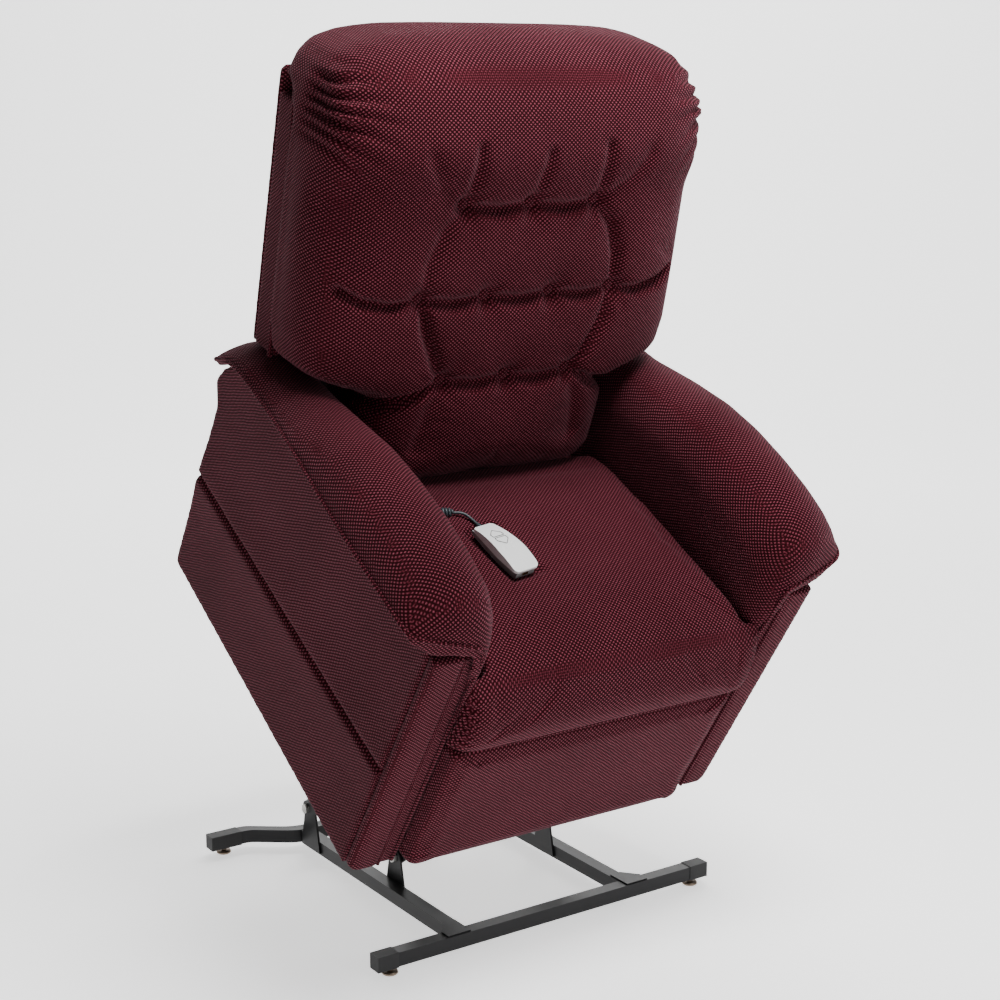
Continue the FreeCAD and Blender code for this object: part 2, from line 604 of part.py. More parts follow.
guide = cylinder("Guide", 36, TUBE_END - 84.2, Vector(0, 84.2, 0), ALONG)
guide_bore = cylinder("GuideBore", "Sizes.rod + 2 * Sizes.running_gap", TUBE_END - BORE_START,
                      Vector(0, BORE_START, 0), ALONG)
guide_cut = cut("GuideTube", guide, guide_bore)
can_room = cylinder("CanRoom", 46.6, 130, Vector(0, 80, -52), ALONG)
keep(cut("GuideClear", guide_cut, can_room), "actuator_guide_tube", on_motor)

ROD_LENGTH = 255
rod_bar = cylinder("RodBar", "Sizes.rod", ROD_LENGTH - 8, Vector(0, reach - ROD_LENGTH, 0), ALONG)
rod_eye = cylinder("RodEye", 24, 18, Vector(-9, reach, 0), ACROSS)
rod_hole = cylinder("RodHole", "Sizes.bolt + 2 * Sizes.running_gap", 30, Vector(-15, reach, 0),
                    ACROSS)
keep(cut("Rod", fuse("RodSolid", [rod_bar, rod_eye]), rod_hole), "actuator_rod", on_motor)

# ---------------------------------------------------------------- backrest

# The backrest's own frame has +Z up its slope and +Y out of its rear face.
BACK_LOW, BACK_FRAME_TOP, PANEL = 20, 560, 12
low, wide, wing = size("back_low_half"), size("back_half") - 1, size("wing_low")
panel_edges = round_rail([(-low, BACK_LOW), (low, BACK_LOW), (low, wing), (wide, wing),
                          (wide, BACK_FRAME_TOP, 15), (-wide, BACK_FRAME_TOP, 15), (-wide, wing),
                          (-low, wing)])
keep(padded("OutsideBack", "XZ_Plane", 0, PANEL, panel_edges), "outside_back_panel", on_back)

strip_height = BACK_FRAME_TOP - wing
strips = [block("StripLeft", "Sizes.board", f"Sizes.strip_deep - {PANEL}", strip_height,
                "Sizes.back_half - Sizes.board", "-Sizes.strip_deep", "Sizes.wing_low"),
          block("StripRight", "Sizes.board", f"Sizes.strip_deep - {PANEL}", strip_height,
                "-Sizes.back_half", "-Sizes.strip_deep", "Sizes.wing_low")]
keep(group("Strips", strips), "back_side_strips", on_back)

POST_IN, POST_FRONT, POST_DEEP = 204, -70, 45
WING_IN = size("back_half") - size("board") - size("post")
frame_boards = [block("BottomRail", 2 * POST_IN, POST_DEEP, 60, -POST_IN, POST_FRONT, -20),
                block("LumbarRail", 2 * POST_IN, POST_DEEP, 60, -POST_IN, POST_FRONT, 250),
                block("TopRail", f"2 * {WING_IN + size('post')}", POST_DEEP, 60,
                      -WING_IN - size("post"), POST_FRONT, 485)]
for side, sign in (("Left", 1), ("Right", -1)):
    post, tie = size("post"), WING_IN - POST_IN - size("post")
    frame_boards += [
        block("BackPost" + side, "Sizes.post", POST_DEEP, 485 + 112, low_x(sign, POST_IN, post),
              POST_FRONT, -112),
        block("WingPost" + side, "Sizes.post", POST_DEEP, 485 - 145, low_x(sign, WING_IN, post),
              POST_FRONT, 145),
        block("WingTie" + side, tie, POST_DEEP, 40, low_x(sign, POST_IN + post, tie),
              POST_FRONT, 150)]
keep(group("BackBoards", frame_boards), "back_frame", on_back)

hinge_local = on_back.inverse().multVec(raised.multVec(BACK_HINGE))
plate_in = POST_IN + size("post") + 1
back_plate = round_rail([(-62, -112, 8), (hinge_local.y + 15, -112, 12), (hinge_local.y + 15, 60, 8),
                         (-62, 60, 8)])
pin_hole = (hinge_local.y, hinge_local.z, size("bolt"))
back_plates = both_sides("BackPlate", plate_in, "Sizes.plate", back_plate, [pin_hole])
for side, sign in (("Left", 1), ("Right", -1)):
    pin = cylinder("HingePin" + side, "Sizes.bolt", rail_outer + size("plate") + 0.2 - plate_in,
                   Vector(sign * plate_in, hinge_local.y, hinge_local.z), Vector(sign, 0, 0))
    nut = hexagon("HingeNut" + side, hinge_local, sign * (rail_outer + size("plate") + 0.2), NUT_DEPTH,
                  sign)
    back_plates.append(fuse("HingeBolt" + side, [pin, nut]))
keep(group("BackPlates", back_plates), "back_hinge_plates", on_back)

front, strip, top = -size("back_deep"), -size("strip_deep") - 0.5, size("back_top")
upper_side = round_rail([(strip, wing + 3), (strip, 566), (-8, 566, 8), (-10, top - 35, 40),
                         (-70, top, 40), (-165, top, 60), (-215, 590, 80), (front, 430, 80),
                         (front, wing + 3, 14)])
upper = padded("BackUpper", "YZ_Plane", 0, "2 * Sizes.back_half", upper_side, midplane=True)
upper_front = padded("BackUpperFront", "XZ_Plane", -50, 350,
                     round_rail([(-size("back_half"), wing - 20), (size("back_half"), wing - 20),
                                 (size("back_half"), top, 70), (-size("back_half"), top, 70)]))
upper_both = doc.addObject("Part::Common", "BackUpperRound")
upper_both.Base, upper_both.Tool = upper, upper_front
lower_side = round_rail([(strip, -45, 12), (strip, wing + 10), (front + 2, wing + 10),
                         (-254, -45, 22)])
lower = padded("BackLower", "YZ_Plane", 0, "2 * Sizes.back_low_half", lower_side, midplane=True)
cushion_block = fuse("BackBlock", [upper_both, lower])

BUTTON_ROWS = ((132.8, -251.5, (-128, 0, 128)), (279.7, -246.6, (-193, -65, 65, 193)),
               (434.6, -241.5, (-130, 0, 130)))
wells, buttons = [], []
for height, depth, places in BUTTON_ROWS:
    for x in places:
        name = f"{len(buttons)}"
        wells.append(cylinder("Well" + name, 40, 60, Vector(x, depth + 8, height),
                              Vector(0, -1, 0)))
        dome = doc.addObject("PartDesign::Body", "Button" + name)
        outline = drawing(dome, "ButtonProfile" + name, "XZ_Plane", 0,
                          [Part.LineSegment(Vector(0, 0), Vector(13, 0)),
                           Part.LineSegment(Vector(13, 0), Vector(13, 3)),
                           Part.Arc(Vector(13, 3), Vector(8, 7.2), Vector(1, 9)),
                           Part.LineSegment(Vector(1, 9), Vector(0, 9)),
                           Part.LineSegment(Vector(0, 9), Vector(0, 0))])
        spin = dome.newObject("PartDesign::Revolution", "ButtonTurn" + name)
        spin.Profile = outline
        spin.ReferenceAxis = (outline, ["V_Axis"])
        spin.Angle = 360
        dome.Placement = Placement(Vector(x, depth + 7, height),
                                   Rotation(Vector(0, 0, 1), Vector(0, -1, 0)))
        buttons.append(dome)
keep(cut("BackCushion", cushion_block, group("Wells", wells)), "back_cushion", on_back)
keep(group("Buttons", buttons), "back_buttons", on_back)

# ---------------------------------------------------------------- legrest

lower_in, upper_in, ear_in = 238, 245, 252
arm_edges = link_edges(LEGREST_PIVOT, LEGREST_ELBOW, 26)
lower_links = both_sides("LowerLink", lower_in, "Sizes.plate", arm_edges,
                         [running_hole(LEGREST_PIVOT), running_hole(LEGREST_ELBOW)])
lower_links += mirrored_bolts("ElbowBolt", LEGREST_ELBOW, lower_in - 0.2, upper_in + 5.2)
keep(group("LowerLinks", lower_links), "legrest_lower_links", raised)
upper_edges = link_edges(LEGREST_ELBOW, OTTOMAN_PIVOT, 26)
keep(group("UpperLinks", both_sides("UpperLink", upper_in, "Sizes.plate", upper_edges,
                                    [running_hole(LEGREST_ELBOW), running_hole(OTTOMAN_PIVOT)])),
     "legrest_upper_links", raised)

BOARD_FRONT, BOARD_BACK = -168, -156
keep(group("LegrestBoards", [block("LegrestBoard", 524, BOARD_BACK - BOARD_FRONT, 270, -262,
                                   BOARD_FRONT, 65)]), "legrest_board", raised)
ear_outline = round_rail([(BOARD_BACK, 205), (OTTOMAN_PIVOT.y, 216, 14),
                          (OTTOMAN_PIVOT.y + 16, 222, 14), (OTTOMAN_PIVOT.y + 16, 248, 14),
                          (OTTOMAN_PIVOT.y, 254, 14), (BOARD_BACK, 265)])
ears = both_sides("LegrestEar", ear_in, "Sizes.plate", ear_outline, [running_hole(OTTOMAN_PIVOT)])
ears += mirrored_bolts("EarBolt", OTTOMAN_PIVOT, ear_in + 5.2, upper_in - 0.2)
keep(group("LegrestEars", ears), "legrest_hinge_ears", raised)
pad_outline = round_rail([(-size("legrest_half"), 56, 24), (size("legrest_half"), 56, 24),
                          (size("legrest_half"), 349, 14), (-size("legrest_half"), 349, 14)])
legrest_pad = rounded(padded("LegrestPad", "XZ_Plane", -BOARD_FRONT + 0.3, 41, pad_outline), 12,
                      lambda edge: edge.BoundBox.YMax < BOARD_FRONT - 40)
keep(legrest_pad, "legrest_pad", raised)

# ---------------------------------------------------------------- handset

# The handset's own frame has its cable end at +Y and its underside at Z = 0.
on_seat = raised * Placement(Vector(-108, 50.5, 502),
                             Rotation(Vector(1, 0, 0), -5.5) * Rotation(Vector(0, 0, 1), 9))
HALF_LENGTH, SHELL_HALF, HOUSING_HALF = 60, 27, 20
housing_side = round_rail([(-57, 1, 3), (-18, 0, 30), (22, 3, 50), (60, 9, 2), (60, 14.5),
                           (-57, 15.5)])
housing = padded("HousingBlock", "YZ_Plane", 0, 2 * HOUSING_HALF, housing_side, midplane=True)
port_room = block("PortRoom", 13.2, 10, 5.8, -6.6, -58, 5)
keep(cut("Housing", housing, port_room), "handset_lower_housing", on_seat)

port_shell = block("PortShell", 13.2, 9, 5.8, -6.6, -57, 5)
port_mouth = block("PortMouth", 12.2, 8, 4.8, -6.1, -57.5, 5.5)
port_tongue = block("PortTongue", 10.4, 7, 1.4, -5.2, -56, 8.6)
keep(fuse("Port", [cut("PortFrame", port_shell, port_mouth), port_tongue]), "usb_port", on_seat)


def arch(name, lift, low):
    """The handset's arched side outline, `lift` over the shell and flat at `low`."""
    rear, front = Vector(HALF_LENGTH, 19.5 + lift), Vector(-HALF_LENGTH, 19 + lift)
    edges = [Part.Arc(rear, Vector(8, 28.6 + lift), front),
             Part.LineSegment(front, Vector(-HALF_LENGTH, low + 0.9)),
             Part.LineSegment(Vector(-HALF_LENGTH, low + 0.9), Vector(HALF_LENGTH, low)),
             Part.LineSegment(Vector(HALF_LENGTH, low), rear)]
    return padded(name, "YZ_Plane", 0, 2 * SHELL_HALF + 4, edges, midplane=True)


plan = round_rail([(-26, -60, 9), (26, -60, 9), (27, -15, 60), (20, 60, 7), (-20, 60, 7),
                   (-27, -15, 60)])
shell_plan = padded("ShellPlan", "XY_Plane", 10, 30, plan)
shell_block = doc.addObject("Part::Common", "ShellBlock")
shell_block.Base, shell_block.Tool = arch("ShellArch", 0, 14.6), shell_plan


def arrow(name, tip_y, foot_y, low, depth, grow):
    """An arrow-shaped prism on the handset, its point at tip_y."""
    way = 1 if tip_y > foot_y else -1
    half = 11 + grow
    outline = round_rail([(-half, foot_y - way * grow, 1.5), (half, foot_y - way * grow, 1.5),
                          (half, tip_y - way * 10.5, 1.5), (0, tip_y + way * 1.4 * grow, 1.5),
                          (-half, tip_y - way * 10.5, 1.5)])
    return padded(name, "XY_Plane", low, depth, outline)


gap = size("button_gap")
ARROWS = (("up", 37.5, 20), ("down", -1.5, 16))
pockets = group("ArrowPockets", [arrow("Pocket" + name, tip, foot, 20, 12, gap)
                                 for name, tip, foot in ARROWS])
keep(cut("Shell", shell_block, pockets), "handset_upper_shell", on_seat)
for name, tip, foot in ARROWS:
    button = doc.addObject("Part::Common", "HandButton" + name)
    button.Base = arch("ButtonArch" + name, 0.3, 21)
    button.Tool = arrow("ButtonPlan" + name, tip, foot, 18, 14, 0)
    keep(button, f"button_{name}", on_seat)

relief = doc.addObject("Part::Cone", "Relief")
relief.Radius1, relief.Radius2, relief.Height = 4.4, 3, 12
relief.Placement = Placement(Vector(0, HALF_LENGTH, 14), Rotation(Vector(0, 0, 1), ALONG))
keep(group("CordRelief", [relief]), "handset_strain_relief", on_seat)

# ---------------------------------------------------------------- handset cord

GLAND = Vector(-262, 208, 481.5)
ring = cylinder("GlandRing", 22, 3.8, GLAND, Vector(1, 0, 0))
boss = cylinder("GlandBoss", 14, 10, GLAND, Vector(1, 0, 0))
keep(group("Gland", [fuse("GlandBody", [ring, boss])]), "cord_gland", raised)

handset_exit = raised.inverse().multVec(on_seat.multVec(Vector(0, HALF_LENGTH + 12, 14)))
HANDSET_LEAD = [handset_exit, Vector(-121.4, 136.4, 507.7), Vector(-128.7, 152.4, 507.6),
                Vector(-140, 158, 504.5)]
COIL = [Vector(-140, 158, 504.5), Vector(-212, 194, 485)]
GLAND_LEAD = [Vector(-212, 194, 485), Vector(-223.3, 199.7, 481.9), Vector(-238, 208, 481.5),
              Vector(-252, 208, 481.5)]


def tube_along(name, route, diameter):
    """A round tube on straight runs joined by arcs as large as the runs allow."""
    radius_rule = 0.45
    edges, last = [], route[0]
    for before, corner, after in zip(route, route[1:], route[2:]):
        to_last, to_next = before - corner, after - corner
        reach_back = radius_rule * min(to_last.Length, to_next.Length)
        turn = math.pi - to_last.getAngle(to_next)
        radius = reach_back / math.tan(turn / 2)
        print(f"{name}: arc radius {radius:.1f} mm")
        back, forth = to_last.normalize(), to_next.normalize()
        start, end = corner + back * reach_back, corner + forth * reach_back
        towards = (back + forth).normalize()
        middle = corner + towards * (radius / math.cos(turn / 2) - radius)
        edges += [Part.LineSegment(last, start).toShape(), Part.Arc(start, middle, end).toShape()]
        last = end
    edges.append(Part.LineSegment(last, route[-1]).toShape())
    spine = Part.Wire(edges)
    ring_edge = Part.Wire(Part.makeCircle(diameter / 2, route[0], route[1] - route[0]))
    solid = spine.makePipeShell([ring_edge], True, True)
    expected = math.pi * diameter ** 2 / 4 * spine.Length
    print(f"{name}: length {spine.Length:.1f} mm, volume over section x length "
          f"{solid.Volume / expected:.4f}")
    feature = doc.addObject("Part::Feature", name)
    feature.Shape = solid
    return feature


keep(group("CordLeads", [tube_along("HandsetLead", HANDSET_LEAD, size("cord")),
                         tube_along("GlandLead", GLAND_LEAD, size("cord"))]),
     "handset_cord", raised)
keep(group("CordCoils", [cylinder("CordCoil", "Sizes.coil", (COIL[1] - COIL[0]).Length, COIL[0],
                                  COIL[1] - COIL[0])]), "handset_cord_coil", raised)

# ---------------------------------------------------------------- check and write

doc.recompute()
for item in doc.Objects:
    if "Invalid" in item.State or "Error" in item.State:
        raise RuntimeError(f"{item.Label} failed: {item.State}")
for label, node in nodes.items():
    if node.Shape.isNull() or not node.Shape.isValid() or not node.Shape.Solids:
        raise RuntimeError(f"{label} has no valid solid")
os.makedirs("parts", exist_ok=True)
for label, node in nodes.items():
    node.Shape.exportStep(f"parts/{label}.step")
print(len(nodes), "nodes written")
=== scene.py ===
import math

import bmesh
import bpy
import numpy as np
from mathutils import Matrix, Vector
from mathutils.bvhtree import BVHTree


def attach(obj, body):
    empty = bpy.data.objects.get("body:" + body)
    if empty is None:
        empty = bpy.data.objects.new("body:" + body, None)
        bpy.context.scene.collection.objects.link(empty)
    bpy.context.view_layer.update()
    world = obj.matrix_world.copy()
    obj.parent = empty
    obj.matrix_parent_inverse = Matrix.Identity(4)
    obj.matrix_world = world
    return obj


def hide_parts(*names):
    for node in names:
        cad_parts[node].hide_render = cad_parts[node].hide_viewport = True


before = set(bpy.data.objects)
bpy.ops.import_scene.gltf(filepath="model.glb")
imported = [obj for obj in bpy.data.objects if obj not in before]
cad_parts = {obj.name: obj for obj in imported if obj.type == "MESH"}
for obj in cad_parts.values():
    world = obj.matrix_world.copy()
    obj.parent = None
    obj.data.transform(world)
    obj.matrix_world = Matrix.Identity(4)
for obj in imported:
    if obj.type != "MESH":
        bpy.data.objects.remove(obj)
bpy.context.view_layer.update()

# ------------------------------------------------------------------ camera and studio
# A white paper sweep runs under and behind the chair.  A large soft box hangs over it, with a
# weak one in front, and the camera looks down a little on the chair's front right corner.

camera_data = bpy.data.cameras.new("camera")
camera_data.lens = 69.5
camera = bpy.data.objects.new("camera", camera_data)
bpy.context.collection.objects.link(camera)
camera_place = Vector((-1.8325, -2.7261, 1.4568))
camera_target = Vector((-0.0211, -0.0694, 0.7437))
camera.location = camera_place
camera.rotation_euler = (camera_target - camera_place).to_track_quat("-Z", "Y").to_euler()
bpy.context.scene.camera = camera


def add_mesh(name, points, faces):
    """A smooth-shaded object from plain points and faces."""
    mesh = bpy.data.meshes.new(name)
    mesh.from_pydata([tuple(p) for p in points], [], faces)
    mesh.polygons.foreach_set("use_smooth", [True] * len(faces))
    mesh.update()
    piece = bpy.data.objects.new(name, mesh)
    bpy.context.collection.objects.link(piece)
    return piece


class Wire:
    """A socket in a material; sums and products of wires add Math nodes."""

    def __init__(self, tree, socket=None):
        self.tree = tree
        self.socket = socket

    def node(self, kind, settings, *inputs, out=0, **named):
        """Make a node, set it up, fill its sockets and return one of its outputs."""
        made = self.tree.nodes.new(kind)
        for key, setting in settings.items():
            setattr(made, key, setting)
        pairs = list(zip(made.inputs, inputs))
        pairs += [(made.inputs[key.replace("_", " ")], given) for key, given in named.items()]
        for socket, given in pairs:
            if isinstance(given, Wire):
                self.tree.links.new(given.socket, socket)
            elif given is not None:
                socket.default_value = given
        return Wire(self.tree, made.outputs[out])

    def maths(self, operation, *inputs):
        return self.node("ShaderNodeMath", {"operation": operation}, *inputs)

    def noise(self, scale, detail=3.0, roughness=0.5):
        """Noise from 0 to 1 at this place."""
        return self.node("ShaderNodeTexNoise", {}, Vector=self, Scale=scale, Detail=detail,
                         Roughness=roughness)

    def mixed(self, low, high):
        """This share of the way from one colour to another."""
        given = [colour if isinstance(colour, Wire) else (*colour, 1.0) for colour in (low, high)]
        return self.node("ShaderNodeMix", {"data_type": "RGBA"}, self, None, None, None, None,
                         None, *given, out=2)

    def step(self, low, high):
        """0 below low, 1 above high and a straight run between."""
        return self.node("ShaderNodeMapRange", {}, self, low, high)

    def bump(self, strength, distance):
        """A normal from this height."""
        return self.node("ShaderNodeBump", {}, Strength=strength, Distance=distance, Height=self)

    def __add__(self, other):
        return self.maths("ADD", self, other)

    def __radd__(self, other):
        return self.maths("ADD", other, self)

    def __sub__(self, other):
        return self.maths("SUBTRACT", self, other)

    def __rsub__(self, other):
        return self.maths("SUBTRACT", other, self)

    def __mul__(self, other):
        return self.maths("MULTIPLY", self, other)

    def __rmul__(self, other):
        return self.maths("MULTIPLY", other, self)

    def __truediv__(self, other):
        return self.maths("DIVIDE", self, other)

    def __pow__(self, other):
        return self.maths("POWER", self, other)


def finish(name, paint, **constants):
    """A material whose Principled sockets come from `paint` and from constants."""
    material = bpy.data.materials.new(name)
    material.use_nodes = True
    tree = material.node_tree
    shader = tree.nodes["Principled BSDF"]
    place = Wire(tree).node("ShaderNodeTexCoord", {}, out=3)
    for key, given in {**constants, **paint(place)}.items():
        socket = shader.inputs[key.replace("_", " ")]
        if isinstance(given, Wire):
            tree.links.new(given.socket, socket)
        else:
            socket.default_value = given
    return material


def paper_paint(place):
    fibre = place.noise(2.5)
    return {"Base_Color": fibre.mixed((0.84, 0.84, 0.84), (0.88, 0.88, 0.88)),
            "Roughness": 0.8 + fibre * 0.1}


SWEEP_SIDE, SWEEP_FRONT, SWEEP_BACK, SWEEP_BEND, SWEEP_TOP = 9.0, -9.0, 6.0, 2.5, 7.0
sweep_line = [(SWEEP_FRONT, 0.0)]
for number in range(13):
    turn = math.pi / 2 * number / 12
    sweep_line.append((SWEEP_BACK - SWEEP_BEND + SWEEP_BEND * math.sin(turn),
                       SWEEP_BEND - SWEEP_BEND * math.cos(turn)))
sweep_line.append((SWEEP_BACK, SWEEP_TOP))
to_camera = Matrix.Rotation(math.radians(-34.3), 4, "Z")
sweep_points = [to_camera @ Vector((x, y, z)) for y, z in sweep_line
                for x in (-SWEEP_SIDE, SWEEP_SIDE)]
sweep_faces = [(2 * i, 2 * i + 1, 2 * i + 3, 2 * i + 2) for i in range(len(sweep_line) - 1)]
paper = add_mesh("paper_sweep", sweep_points, sweep_faces)
paper.data.materials.append(finish("white_paper", paper_paint, Emission_Color=(1, 1, 1, 1),
                                   Emission_Strength=1.05))


def soft_box(name, place, target, width, height, power):
    """A rectangular lamp that faces a target."""
    light = bpy.data.lights.new(name, "AREA")
    light.shape = "RECTANGLE"
    light.size, light.size_y = width, height
    light.energy = power
    lamp = bpy.data.objects.new(name, light)
    lamp.location = place
    aim = Vector(target) - Vector(place)
    lamp.rotation_euler = aim.to_track_quat("-Z", "Y").to_euler()
    bpy.context.collection.objects.link(lamp)


soft_box("overhead", (0.25, -1.0, 3.3), (0.0, 0.0, 0.7), 1.3, 1.3, 150)
soft_box("front", (1.1, -3.6, 2.0), (0.0, 0.0, 0.6), 1.4, 1.4, 24)
soft_box("backdrop_wash", (2.4, 2.6, 5.0), (3.0, 4.8, 1.0), 5.0, 2.0, 330)
world = bpy.data.worlds.new("studio")
world.use_nodes = True
world.node_tree.nodes["Background"].inputs["Color"].default_value = (1.0, 1.0, 1.0, 1.0)
world.node_tree.nodes["Background"].inputs["Strength"].default_value = 0.12
bpy.context.scene.world = world

# ------------------------------------------------------------------ handset cord
# A dark moulded lead between the gland in the right arm and the handset's strain relief.  Its
# middle is curled into fourteen tight turns.  The body is drawn seated and level, as `on_body`
# then turns it about the lift's pole; the backrest and the handset have places on the body.

pole, centring = Vector((0.0, -0.3741, 0.2096)), Vector((0.0, -0.0278, 0.0))
on_body = (Matrix.Translation(centring + pole) @ Matrix.Rotation(math.radians(32.64), 4, "X")
           @ Matrix.Translation(-pole))
on_back = (on_body @ Matrix.Translation((0.0, 0.516, 0.45))
           @ Matrix.Rotation(math.radians(-17.4), 4, "X"))
on_seat = (on_body @ Matrix.Translation((-0.108, 0.0505, 0.502))
           @ Matrix.Rotation(math.radians(-5.5), 4, "X") @ Matrix.Rotation(math.radians(9), 4, "Z"))

cord_thick, coil_wide, coil_turns, turn_points = 0.005, 0.0165, 14, 14
handset_exit = on_body.inverted() @ on_seat @ Vector((0.0, 0.072, 0.014))
gland_lead = [(-0.252, 0.208, 0.4815), (-0.238, 0.208, 0.4815), (-0.2233, 0.1997, 0.4819)]
coil_ends = [(-0.212, 0.194, 0.485), (-0.140, 0.158, 0.5045)]
handset_lead = [(-0.1287, 0.1524, 0.5076), (-0.1214, 0.1364, 0.5077), tuple(handset_exit)]


def smooth_cord(name, route, thickness=0.0):
    """A NURBS curve with the route's points, given seated, as its control points."""
    curve = bpy.data.curves.new(name, "CURVE")
    curve.dimensions = "3D"
    curve.bevel_depth = thickness / 2
    curve.bevel_resolution = 4
    curve.use_fill_caps = True
    curve.resolution_u = 6
    run = curve.splines.new("NURBS")
    run.points.add(len(route) - 1)
    for point, at in zip(run.points, route):
        point.co = (*(on_body @ Vector(at)), 1.0)
    run.order_u = 3
    run.use_endpoint_u = True
    return bpy.data.objects.new(name, curve)


def line_of(curve_piece):
    """The points along a curve's smooth line."""
    bare = curve_piece.data.copy()
    bare.bevel_depth = 0.0
    holder = bpy.data.objects.new("bare", bare)
    mesh = bpy.data.meshes.new_from_object(holder)
    line = [v.co.copy() for v in mesh.vertices]
    bpy.data.objects.remove(holder)
    return line


way = line_of(smooth_cord("cord_way", gland_lead + coil_ends + handset_lead))
first = min(range(len(way)), key=lambda i: (way[i] - on_body @ Vector(coil_ends[0])).length)
last = min(range(len(way)), key=lambda i: (way[i] - on_body @ Vector(coil_ends[1])).length)
middle = way[first:last + 1]
reaches = np.cumsum([0.0] + [(b - a).length for a, b in zip(middle, middle[1:])])
curl_radius = (coil_wide - cord_thick) / 2 / math.cos(math.pi / turn_points)
curl = []
for number in range(coil_turns * turn_points + 1):
    reach = reaches[-1] * (0.03 + 0.94 * number / (coil_turns * turn_points))
    place = Vector([np.interp(reach, reaches, [p[axis] for p in middle]) for axis in range(3)])
    beyond = Vector([np.interp(reach + 0.002, reaches, [p[axis] for p in middle])
                     for axis in range(3)])
    ahead = (beyond - place).normalized() if (beyond - place).length > 1e-5 else ahead
    aside = ahead.cross(Vector((0, 0, 1))).normalized()
    turn = 2 * math.pi * number / turn_points
    opened = min(number, coil_turns * turn_points - number, turn_points / 2) / (turn_points / 2)
    swing = (aside * math.cos(turn) + ahead.cross(aside) * math.sin(turn)) * curl_radius * opened
    curl.append(on_body.inverted() @ (place + swing))
cord = smooth_cord("handset_cord_curly", gland_lead + curl + handset_lead, cord_thick)
bpy.context.collection.objects.link(cord)
cord_line = line_of(cord)
cord_length = sum((b - a).length for a, b in zip(cord_line, cord_line[1:]))


def jacket_paint(place):
    grain, worn = place.noise(900.0, 2.0), place.noise(60.0)
    return {"Base_Color": worn.mixed((0.011, 0.017, 0.02), (0.03, 0.042, 0.05)),
            "Roughness": 0.34 + worn * 0.2, "Normal": grain.bump(0.25, 0.0003)}


jacket = finish("cord_jacket", jacket_paint)
cord.data.materials.append(jacket)
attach(cord, "lift_frame")
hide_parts("handset_cord", "handset_cord_coil")

# ------------------------------------------------------------------ floor frame and lift
# Square steel tube in satin black powder coat, with plastic end caps and turned levelling
# glides.  The links, lift plates and brackets are plate steel in the same coat.


def wear(names, material, edge=0.0):
    """Give CAD pieces a finish and, if asked, a rounded edge."""
    for name in names:
        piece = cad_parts[name]
        piece.data.materials.clear()
        piece.data.materials.append(material)
        if edge:
            round_edge = piece.modifiers.new("edge", "BEVEL")
            round_edge.width = edge
            round_edge.segments = 3
            round_edge.limit_method = "ANGLE"
            round_edge.angle_limit = math.radians(40)
            round_edge.harden_normals = True


def coat_paint(place):
    orange_peel, dust = place.noise(420.0, 2.0), place.noise(9.0, 4.0)
    return {"Base_Color": dust.mixed((0.006, 0.006, 0.007), (0.013, 0.013, 0.014)),
            "Roughness": 0.3 + dust * 0.16, "Normal": orange_peel.bump(0.12, 0.0003)}


def cap_paint(place):
    grain, scuffs = place.noise(1500.0, 2.0), place.noise(40.0, 5.0, 0.7)
    return {"Base_Color": scuffs.mixed((0.008, 0.008, 0.008), (0.022, 0.022, 0.023)),
            "Roughness": 0.46 + scuffs * 0.2, "Normal": grain.bump(0.3, 0.0002)}


def plated_paint(bright, dull, roughness):
    """Turned and plated metal, `dull` where it is tarnished."""

    def paint(place):
        tarnish, scratches = place.noise(70.0, 5.0, 0.65), place.noise(1400.0, 2.0)
        return {"Base_Color": tarnish.mixed(bright, dull),
                "Roughness": roughness + tarnish * 0.18,
                "Normal": scratches.bump(0.12, 0.0001)}

    return paint


powder_coat = finish("black_powder_coat", coat_paint, Specular_IOR_Level=0.2)
cap_plastic = finish("black_cap_plastic", cap_paint, Specular_IOR_Level=0.25)
glide_metal = finish("glide_bronze", plated_paint((0.33, 0.26, 0.2), (0.16, 0.12, 0.09), 0.26),
                     Metallic=1.0)
zinc = finish("zinc_plate", plated_paint((0.52, 0.52, 0.5), (0.36, 0.36, 0.34), 0.28), Metallic=1.0)
chrome = finish("hard_chrome", plated_paint((0.62, 0.62, 0.63), (0.5, 0.5, 0.51), 0.1), Metallic=1.0)
spring_steel = finish("spring_steel", plated_paint((0.2, 0.2, 0.2), (0.1, 0.095, 0.09), 0.34),
                      Metallic=1.0)
wear(("base_front_rail", "base_rear_rail", "base_side_tubes", "body_side_rails",
      "body_cross_tubes"), powder_coat, 0.0022)
wear(("base_corner_gussets", "base_link_brackets", "actuator_base_clevis", "front_lift_links",
      "front_link_torque_tube", "rear_lift_links", "lift_plates", "actuator_rod_bracket",
      "legrest_pivot_plates", "back_hinge_brackets", "legrest_lower_links", "legrest_upper_links",
      "legrest_hinge_ears", "back_hinge_plates"), powder_coat, 0.0006)
wear(("rail_end_caps",), cap_plastic, 0.0018)
wear(("floor_glides",), glide_metal, 0.0005)
wear(("base_pivot_bolts", "lift_pivot_bolts"), zinc, 0.0006)
wear(("actuator_rod",), chrome, 0.0006)
wear(("seat_springs",), spring_steel)


def moulded_paint(dark, light, roughness, grain_size=1300.0):
    """Moulded plastic with a fine grain and faint handling marks."""

    def paint(place):
        grain, marks = place.noise(grain_size, 2.0), place.noise(55.0, 5.0, 0.6)
        return {"Base_Color": marks.mixed(dark, light), "Roughness": roughness + marks * 0.12,
                "Normal": grain.bump(0.12, 0.0001)}

    return paint


drive_plastic = finish("drive_plastic",
                       moulded_paint((0.016, 0.017, 0.018), (0.035, 0.036, 0.038), 0.42))
wear(("motor_housing", "actuator_guide_tube", "power_supply", "power_inlet"), drive_plastic, 0.0012)


